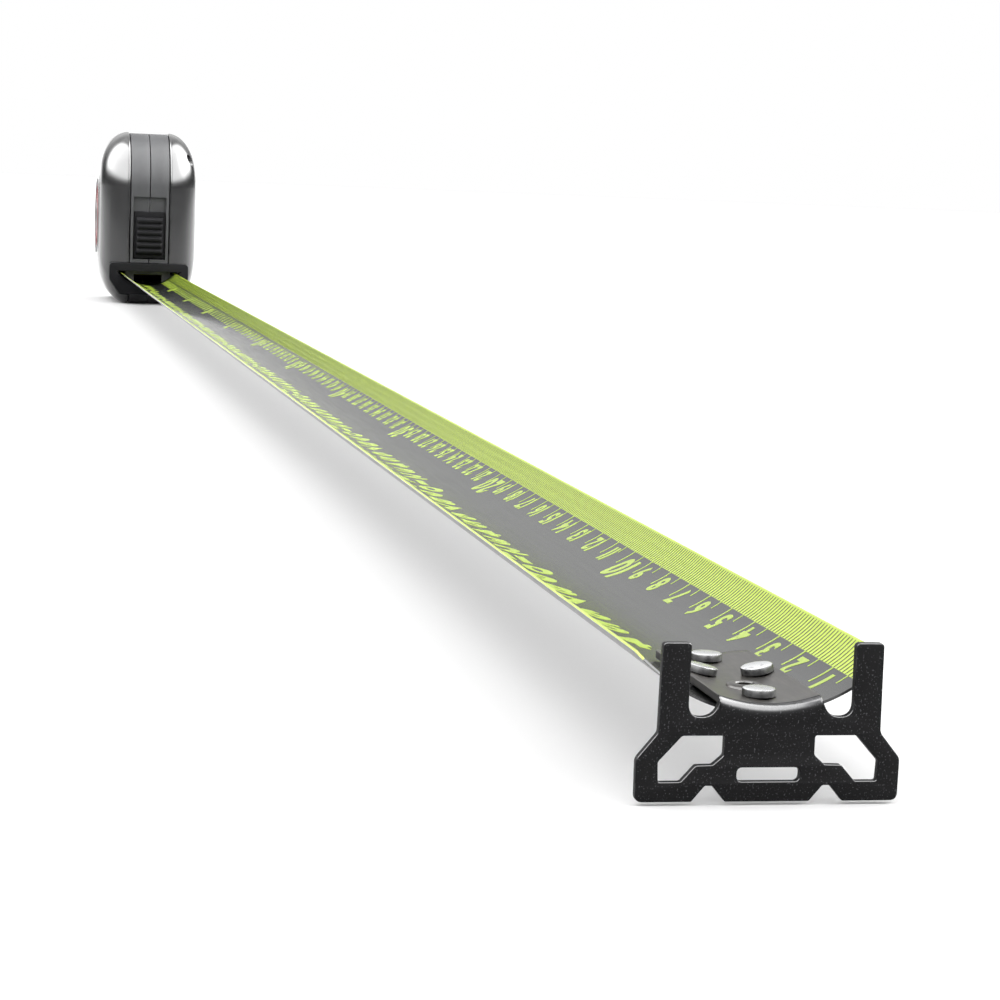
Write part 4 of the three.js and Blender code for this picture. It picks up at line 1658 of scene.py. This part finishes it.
@dataclass
class Blade:
    """The blade's free length with its printed scale."""

    trough: Trough
    paint: Paintbox
    zero: float
    end: float
    inner_end: float
    shortest: float
    corner: float = 3.2
    band: float = 11.2
    left_strip: float = -14.6
    ink: float = 0.03
    sunk: float = 0.02
    row_height: float = 3.8
    ten_height: float = 5.6
    cross_height: float = 7.0
    cross_middle: float = -5.4

    def mark(self, maker: Maker, across: Flat, along: Flat) -> None:
        """Adds one printed bar to a mesh.

        Args:
            maker: The mesh.
            across: Its two ends along the curve.
            along: Its two sides, as distances from the hook.
        """
        steps = 3
        rings = []
        for s in between(across[0], across[1], steps):
            rings.append([
                self.trough.at(s, self.zero + d, lift)
                for d, lift in (
                    (along[0], -self.sunk), (along[1], -self.sunk), (along[1], self.ink), (along[0], self.ink)
                )
            ])
        maker.loft(rings, (None, None))

    def lay(
        self, maker: Maker, shape: tuple[list[Point], list[Face]], place: Callable[[float, float], Flat]
    ) -> None:
        """Lays a drawn number on the blade.

        Args:
            maker: The mesh.
            shape: The number's points and faces.
            place: Turns the drawing's coordinates into places across and along the blade.
        """
        points = []
        for u, v, depth in shape[0]:
            across, distance = place(u, v)
            lift = self.ink if depth > 0 else -self.sunk
            points.append(self.trough.at(across, self.zero + distance, lift))
        maker.add(points, shape[1])

    def printed(self, maker: Maker, name: str, material: bpy.types.Material) -> None:
        """Turns printed marks into a piece that rides on the blade's end.

        Args:
            maker: The marks.
            name: The piece's name.
            material: The ink.
        """
        piece = maker.build(name)
        finish_piece(piece, Body.BLADE, [material])
        self.shorten(piece)

    def shorten(self, piece: bpy.types.Object) -> None:
        """Gives a piece its own copy of its mesh."""
        anchor = (0.0, self.end * MM, 0.0)
        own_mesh(piece)

    def half_width(self, along: float) -> float:
        """Half the blade's width along its curve, with the corners clipped.

        Args:
            along: The place along Y.

        Returns:
            The half width.
        """
        chord = self.trough.half_chord - max(0.0, self.corner - (along - self.end))
        return math.asin(chord / self.trough.outer) * self.trough.top

    def make_strip(self) -> None:
        """Builds the steel strip: a thin closed trough with rounded edges."""
        stations = [self.end + step for step in between(0, self.corner, 4)]
        stations += between(self.end + 12, self.inner_end, 48)
        thick = self.trough.thickness
        full = self.trough.half_arc
        rings = []
        for y in stations:
            share = self.half_width(y) / full
            columns = [s * share for s in between(-full, full, 60)]
            top = [self.trough.at(s, y) for s in columns]
            right = self.trough.at((full + 0.1) * share, y, -thick / 2)
            bottom = [self.trough.at(s, y, -thick) for s in reversed(columns)]
            left = self.trough.at(-(full + 0.1) * share, y, -thick / 2)
            rings.append([*top, right, *bottom, left])
        maker = Maker()
        maker.loft(rings, (None, None))
        strip = maker.build("blade_strip", 50.0)
        finish_piece(strip, Body.BLADE, [self.paint.blade], ["blade"])
        self.shorten(strip)

    def make_scale(self) -> None:
        """Prints millimetre lines on the band and centimetre marks beside it."""
        length = int(self.inner_end - self.zero)
        first = math.ceil(self.end - self.zero) + 1
        lines, ticks, edge = Maker(), Maker(), Maker()
        for d in range(first, length):
            along = (d - 0.1, d + 0.1)
            room = self.half_width(self.zero + d - 0.3) - 0.25
            self.mark(lines, (self.band + 0.02, room), along)
            if d % 10 == 0:
                self.mark(ticks, (self.band - 3.3, self.band), (d - 0.2, d + 0.2))
                self.mark(edge, (self.left_strip + 0.02, self.left_strip + 2.2), (d - 0.25, d + 0.25))
            elif d % 5 == 0:
                self.mark(ticks, (self.band - 1.6, self.band), (d - 0.15, d + 0.15))
        self.printed(lines, "print_millimetres", self.paint.dark_ink)
        self.printed(ticks, "print_centimetres", self.paint.lime_ink)
        self.printed(edge, "print_edge_marks", self.paint.lime_ink)

    def make_numbers(self) -> None:
        """Prints the numbers: a row beside the band and a row across the left half."""
        digits = Digits()
        row, across_row, tens = Maker(), Maker(), Maker()
        last = int((self.inner_end - self.zero) / 10)
        for number in range(1, last):
            ten = number % 10 == 0
            height = self.ten_height if ten else self.row_height
            middle = 10 * number - (3.6 if ten else 2.3) - (0.9 if number > 9 else 0.0)
            centre = self.band - 2.7 - (1.2 if ten else 0.0)
            shape = digits.number(str(number), height)
            self.lay(tens if ten else row, shape, lambda u, v: (centre - v, middle + u))
            if number > 3:
                second = digits.number(str(number), self.cross_height)
                self.lay(across_row, second, lambda u, v: (self.cross_middle + u, 10 * number + v))
        self.printed(row, "print_numbers", self.paint.lime_ink)
        self.printed(tens, "print_tens", self.paint.lime_ink)
        self.printed(across_row, "print_cross_numbers", self.paint.lime_ink)

    def build(self) -> None:
        """Builds the strip and everything printed on it."""
        self.make_strip()
        self.make_scale()
        self.make_numbers()


# ---------------------------------------------------------------- the hook


@dataclass
class Hook:
    """The hook with its tongue and rivets."""

    trough: Trough
    paint: Paintbox
    front: float
    foot: float = 0.4
    thick: float = 1.0
    edge: float = 0.14
    tongue_half: float = 5.8
    tongue_length: float = 29.0
    tongue_thick: float = 0.9
    tongue_end: float = 3.0
    bend: float = 1.15
    neck_low: float = 8.6
    hollow_gap: float = 0.15
    hollow_top: float = 20.0
    floats: float = 1.0
    head: float = 1.88
    head_rise: float = 0.1
    head_height: float = 0.9
    shank: float = 1.0
    slot_gap: float = 0.12
    dimple_along: float = 9.2
    dimple: float = 2.25
    dimple_height: float = 0.5
    dimple_hole: float = 1.0

    @property
    def back(self) -> float:
        """The plate's back face."""
        return self.front + self.thick

    @property
    def tongue_top(self) -> float:
        """Radius of the tongue's upper face about the trough's axis."""
        return self.trough.top - FIT - self.tongue_thick

    @property
    def rivets(self) -> list[Flat]:
        """The rivets' places across and along the tongue."""
        return [(0.0, 3.9), (-3.7, 15.5), (3.7, 15.5), (0.0, 25.0)]

    def half_outline(self) -> list[Corner]:
        """The plate's right half: X, height over its foot, and corner radius."""
        return [
            (4.72, 0, 0.3),
            (6.2, 1.75, 0.35),
            (7.05, 1.75, 0.35),
            (8.52, 0, 0.3),
            (14.8, 0, 0.9),
            (14.85, 4.75, 1.3),
            (12.5, 7.6, 1),
            (12.4, 17.4, 0.5),
            (9.22, 17.4, 0.5),
            (9.26, 9.3, 1.45),
            (6.5, 9.3, 1.9),
            (self.tongue_half, 11, 0),
        ]

    def window(self) -> list[Corner]:
        """The right window, in the same terms."""
        return [
            (5.1, 7.25, 0.3),
            (5.1, 5.1, 0.6),
            (6.3, 4.05, 0.5),
            (8.2, 4, 0.5),
            (9.8, 2.2, 0.5),
            (12.3, 2.2, 0.25),
            (12.4, 4.4, 0.5),
            (9.8, 7.25, 0.5),
        ]

    def make_plate(self) -> bpy.types.Object:
        """Builds the flat plate with its windows and softly rounded edges.

        Returns:
            The plate.
        """
        right = self.half_outline()
        slot = [(-3.55, 2.2, 0.65), (3.55, 2.2, 0.65), (3.55, 3.75, 0.65), (-3.55, 3.75, 0.65)]
        outlines = [[*right, *mirrored(right)], self.window(), mirrored(self.window()), slot]
        curve = bpy.data.curves.new("plate", "CURVE")
        curve.dimensions = "2D"
        curve.fill_mode = "BOTH"
        curve.extrude = (self.thick / 2 - self.edge) * MM
        curve.bevel_depth = self.edge * MM
        curve.bevel_resolution = 2
        curve.offset = -self.edge * MM
        for outline in outlines:
            points = rounded(outline, 7)
            spline = curve.splines.new("POLY")
            spline.points.add(len(points) - 1)
            spline.use_cyclic_u = True
            for point, (u, v) in zip(spline.points, points):
                point.co = (u * MM, v * MM, 0.0, 1.0)
        carrier = bpy.data.objects.new("plate", curve)
        bpy.context.scene.collection.objects.link(carrier)
        depsgraph = bpy.context.evaluated_depsgraph_get()
        mesh = bpy.data.meshes.new_from_object(carrier.evaluated_get(depsgraph))
        bpy.data.objects.remove(carrier)
        stand = Matrix.Translation((0, (self.front + self.thick / 2) * MM, self.foot * MM))
        mesh.transform(stand @ Matrix.Rotation(math.pi / 2, 4, "X"))
        plate = bpy.data.objects.new("end_hook", mesh)
        bpy.context.scene.collection.objects.link(plate)
        tidy(plate, 24.0)
        return plate

    def sheet_path(self, x: float, low: float) -> tuple[list[Flat], list[Flat]]:
        """The upper and lower faces of the bent sheet at one place across.

        Args:
            x: The place across.
            low: The height that the sheet starts at.

        Returns:
            Two lists of Y and Z, from the plate to the tongue's end.
        """
        top = self.trough.centre - math.sqrt(self.tongue_top**2 - x * x)
        under = self.trough.centre - math.sqrt((self.tongue_top + self.tongue_thick) ** 2 - x * x)
        over_round = max(0.0, abs(x) - (self.tongue_half - self.tongue_end))
        trim = self.tongue_end - math.sqrt(max(0.0, self.tongue_end**2 - over_round**2))
        tip = self.back + self.tongue_length - trim
        inner = 0.35
        turns = [math.radians(degrees) for degrees in between(0, 90, 8)]
        outer_bend = [
            (self.front + self.bend * (1 - math.cos(a)), top - self.bend * (1 - math.sin(a))) for a in turns
        ]
        inner_bend = [
            (self.back + inner * (1 - math.cos(a)), under - inner * (1 - math.sin(a))) for a in turns
        ]
        outer = [(self.front, low), *outer_bend]
        lower = [(self.back, low), *inner_bend]
        outer += [(y, top) for y in between(self.front + self.bend + 1, tip, 12)]
        lower += [(y, under) for y in between(self.back + inner + 1, tip, 12)]
        return outer, lower

    def make_tongue(self) -> bpy.types.Object:
        """Builds the neck and the tongue as one bent sheet with rounded edges.

        Returns:
            The sheet.
        """
        low = self.foot + self.neck_low
        rings = []
        for x in between(-self.tongue_half, self.tongue_half, 40):
            upper, lower = self.sheet_path(x, low)
            rings.append([(x, y, z) for y, z in [*upper, *reversed(lower)]])
        maker = Maker()
        maker.loft(rings, (None, None))
        tongue = maker.build("tongue")
        soften(tongue, 0.16, 3, 60.0)
        y = self.back + self.dimple_along
        surface = self.trough.centre - self.tongue_top
        profile = [
            (self.dimple_hole, -0.5),
            (self.dimple_hole, 0.3),
            (self.dimple_hole + 0.12, 0.45),
            (self.dimple_hole + 0.35, self.dimple_height),
            (self.dimple - 0.45, self.dimple_height - 0.08),
            (self.dimple - 0.2, 0.28),
            (self.dimple - 0.05, 0.06),
            (self.dimple + 0.1, -0.1),
            (self.dimple + 0.1, -0.5),
        ]
        rings = [[(u, y + v, surface + w) for u, v, w in ring] for ring in lathe([*profile, profile[0]], 48)]
        collar = Maker()
        for ring, after in zip(rings, rings[1:]):
            count = len(ring)
            faces: list[Face] = [
                (i, (i + 1) % count, count + (i + 1) % count, count + i) for i in range(count)
            ]
            collar.add([*ring, *after], faces)
        dimple = collar.build("dimple")
        combine(tongue, [bar(Axis.Z, self.dimple_hole + 0.05, (0, 20), (0.0, y), 48)], Join.CUT)
        combine(tongue, [dimple], Join.ADD)
        slots = [self.tilted(self.slot_tool(along), across) for across, along in self.rivets]
        combine(tongue, slots, Join.CUT)
        return tongue

    def slot_tool(self, along: float) -> bpy.types.Object:
        """The slot that a rivet floats in, as a cutting tool.

        Args:
            along: The rivet's place along the tongue.

        Returns:
            The tool.
        """
        y, radius = self.back + along, self.shank + self.slot_gap
        right = [(radius * math.cos(a), y + radius * math.sin(a)) for a in between(0, math.pi, 16)]
        left = [
            (radius * math.cos(a), y - self.floats + radius * math.sin(a))
            for a in between(math.pi, 2 * math.pi, 16)
        ]
        outline = [*right, *left]
        maker = Maker()
        maker.prism(outline, self.trough.bottom - 3, self.trough.bottom + 4, Axis.Z)
        return maker.build("slot")

    def tilted(self, piece: bpy.types.Object, across: float) -> bpy.types.Object:
        """Turns a piece about the trough's axis to its place across the blade.

        Args:
            piece: The piece, built in the middle.
            across: Its place.

        Returns:
            The same piece.
        """
        axle = Matrix.Translation((0, 0, self.trough.centre * MM))
        turn = Matrix.Rotation(-math.asin(across / self.trough.outer), 4, "Y")
        piece.data.transform(axle @ turn @ axle.inverted())
        return piece

    def make_hook(self) -> None:
        """Joins plate and tongue and gives the tongue its own coat."""
        plate = self.make_plate()
        radius = self.tongue_top + self.bend + self.hollow_gap
        reach = math.asin(self.tongue_half / radius)
        turns = between(-reach, reach, 24)
        hollow = [(radius * math.sin(a), self.trough.centre - radius * math.cos(a)) for a in turns]
        maker = Maker()
        lid = [(self.tongue_half, self.hollow_top), (-self.tongue_half, self.hollow_top)]
        maker.prism([*hollow, *lid], self.front - 1, self.back + 1)
        combine(plate, [maker.build("hollow")], Join.CUT)
        combine(plate, [self.make_tongue()], Join.ADD)
        tidy(plate, 24.0)
        finish_piece(plate, Body.HOOK, [self.paint.powder, self.paint.satin], ["hook"])
        rubbed = (self.back + 0.6) * MM
        for polygon in plate.data.polygons:
            on_tongue = polygon.center.y > rubbed
            polygon.material_index = 1 if on_tongue else 0

    def make_rivets(self) -> None:
        """Builds the four flat-headed rivets."""
        under = self.trough.centre - self.tongue_top + self.head_rise
        top = under + self.head_height
        tail = self.trough.bottom - FIT
        small = self.head * 0.9
        profile = [
            (small - 0.12, tail - 0.4),
            (small, tail - 0.3),
            (small, tail - 0.06),
            (small - 0.06, tail),
            (self.shank, tail),
            (self.shank, under),
            (self.head - 0.05, under),
            (self.head, under + 0.06),
            (self.head, top - 0.2),
            (self.head - 0.06, top - 0.08),
            (self.head - 0.2, top - 0.015),
            (self.head - 0.35, top),
        ]
        for number, (across, along) in enumerate(self.rivets, 1):
            y = self.back + along
            rings = [[(u, y + v, w) for u, v, w in ring] for ring in lathe(profile, 72)]
            maker = Maker()
            maker.loft(rings, ((0.0, y, tail - 0.4), (0.0, y, top)))
            rivet = self.tilted(maker.build(f"flat_rivet_{number}"), across)
            finish_piece(rivet, Body.BLADE, [self.paint.rivet], [f"hook_rivet_{number}"])

    def build(self) -> None:
        """Builds the hook and its rivets."""
        self.make_hook()
        self.make_rivets()


# ---------------------------------------------------------------- what stays and the studio


@dataclass
class Works:
    """The CAD pieces inside the case, which keep their shape and get their finishes."""

    paint: Paintbox

    def build(self) -> None:
        """Dresses each kept piece."""
        finishes = {
            "mouth_saddle": self.paint.nylon,
            "brake_shoe": self.paint.nylon,
            "drum": self.paint.nylon,
            "drum_cover": self.paint.nylon,
            "lock_detent_spring": self.paint.spring,
            "blade_anchor": self.paint.spring,
            "spindle": self.paint.plated,
            "return_spring": self.paint.wound_spring,
            "blade_coil": self.paint.wound_blade,
        }
        for name, material in finishes.items():
            for slot in frame["nodes"][name].material_slots:
                slot.material = material
            log.info("%s: kept with %s", name, material.name)


@dataclass(frozen=True)
class SoftSun:
    """One wide, far light."""

    name: str
    comes_from: Point
    spread: float
    strength: float

    def build(self) -> None:
        """Hangs the light."""
        light = bpy.data.lights.new(self.name, "SUN")
        light.angle = math.radians(self.spread)
        light.energy = self.strength
        lamp = bpy.data.objects.new(self.name, light)
        lamp.rotation_euler = Vector(self.comes_from).to_track_quat("Z", "Y").to_euler()
        bpy.context.scene.collection.objects.link(lamp)


@dataclass
class Studio:
    """Pale floor, soft light and the camera."""

    paint: Paintbox
    hook_front: float
    camera_from_hook: Point = (-84.1, -259.7, 64.7)
    camera_turn: Point = (83.138, -2.262, -11.329)
    lens: float = 92.2
    room_light: float = 1.0
    strip_light: float = 11.0
    floor_half: float = 60.0

    def make_floor(self) -> None:
        """Lays the floor."""
        half = self.floor_half / MM
        maker = Maker()
        corners = [(-half, -half, 0.0), (half, -half, 0.0), (half, half, 0.0), (-half, half, 0.0)]
        maker.add(corners, [(0, 1, 2, 3)])
        floor = maker.build("studio_floor")
        floor.data.materials.append(self.paint.floor)

    def make_surroundings(self) -> None:
        """Makes the white room: bright above, dimmer towards the horizon, white behind the object."""
        world = bpy.data.worlds.new("white_room")
        world.use_nodes = True
        graph = Graph(world.node_tree)
        right, back, up = graph.parts(graph.coordinates("Generated"))
        turn = abs(right.bearing(0 - back))
        strips = turn.rise(0.1, 0.2) * turn.rise(2.5, 2.2) * up.rise(0.12, 0.3)
        behind = turn.rise(2.55, 2.9)
        glow = behind * (0.55 + 1.3 * up.rise(0.12, 0.03))
        mirrored_room = 0.05 + 0.8 * up.rise(0.1, 0.5) + glow + self.strip_light * strips
        rays = graph.node("ShaderNodeLightPath")
        seen, glossy = (Wire(graph, rays.outputs[name]) for name in ("Is Camera Ray", "Is Glossy Ray"))
        strength = seen + (1 - seen) * (mirrored_room * glossy + self.room_light * (1 - glossy))
        sky = graph.take("ShaderNodeBackground", inputs={"Color": (1, 1, 1, 1), "Strength": strength})
        graph.node("ShaderNodeOutputWorld", inputs={"Surface": sky})
        bpy.context.scene.world = world

    def make_lights(self) -> None:
        """Hangs the key light on the right and a weak one overhead."""
        SoftSun("right_key", (0.9, 0.05, 0.6), 44.0, 1.15).build()
        SoftSun("top_fill", (-0.4, 0.1, 1.0), 60.0, 0.8).build()

    def make_camera(self) -> None:
        """Sets the camera low behind the hook, looking along the blade."""
        camera = bpy.data.cameras.new("camera")
        camera.lens = self.lens
        camera.clip_start, camera.clip_end = 0.01, 200.0
        holder = bpy.data.objects.new("camera", camera)
        x, y, z = self.camera_from_hook
        holder.location = (x * MM, (self.hook_front + y) * MM, z * MM)
        holder.rotation_euler = Euler([math.radians(a) for a in self.camera_turn], "XYZ")
        bpy.context.scene.collection.objects.link(holder)
        bpy.context.scene.camera = holder

    def build(self) -> None:
        """Builds the studio."""
        self.make_floor()
        self.make_surroundings()
        self.make_lights()
        self.make_camera()
        bpy.context.scene.view_settings.view_transform = "Standard"


def travel_mm(name: str) -> float:
    """How far a sliding joint travels.

    Args:
        name: The joint's name.

    Returns:
        The travel in millimetres.
    """
    joints = frame["record"]["behaviour"]["joints"]
    low, high = next(joint["range_m"] for joint in joints if joint["name"] == name)
    return (high - low) / MM


def main() -> None:
    """Builds the tape measure and its studio."""
    logging.basicConfig(level=logging.INFO, format="%(name)s %(message)s")
    paint = Paintbox()
    trough = Trough()
    grip_low, grip_high = box_mm("right_grip")
    hook_low, _ = box_mm("hook")
    blade_low, blade_high = box_mm("blade")
    _, lock_high = box_mm("lock_slide")
    drum_low, drum_high = box_mm("drum")
    form = CaseForm(grip_high.z, grip_high.y - grip_low.y, grip_high.x)
    case = Case(
        form,
        trough,
        paint,
        spool_height=(drum_low.z + drum_high.z) / 2,
        lock_low=lock_high.z - Case.lock_height,
        lock_travel=travel_mm("lock_travel"),
        inner_end=blade_high.y,
    )
    case.build()
    ThumbLock(paint, form.front, case.nose_back).build()
    length = blade_high.y - blade_low.y
    shortest = (length - travel_mm("blade_slide")) / length
    Blade(trough, paint, hook_low.y + 1.0, blade_low.y, blade_high.y, shortest).build()
    Hook(trough, paint, hook_low.y).build()
    Works(paint).build()
    Studio(paint, hook_low.y).build()


if __name__ == "__main__":
    main()
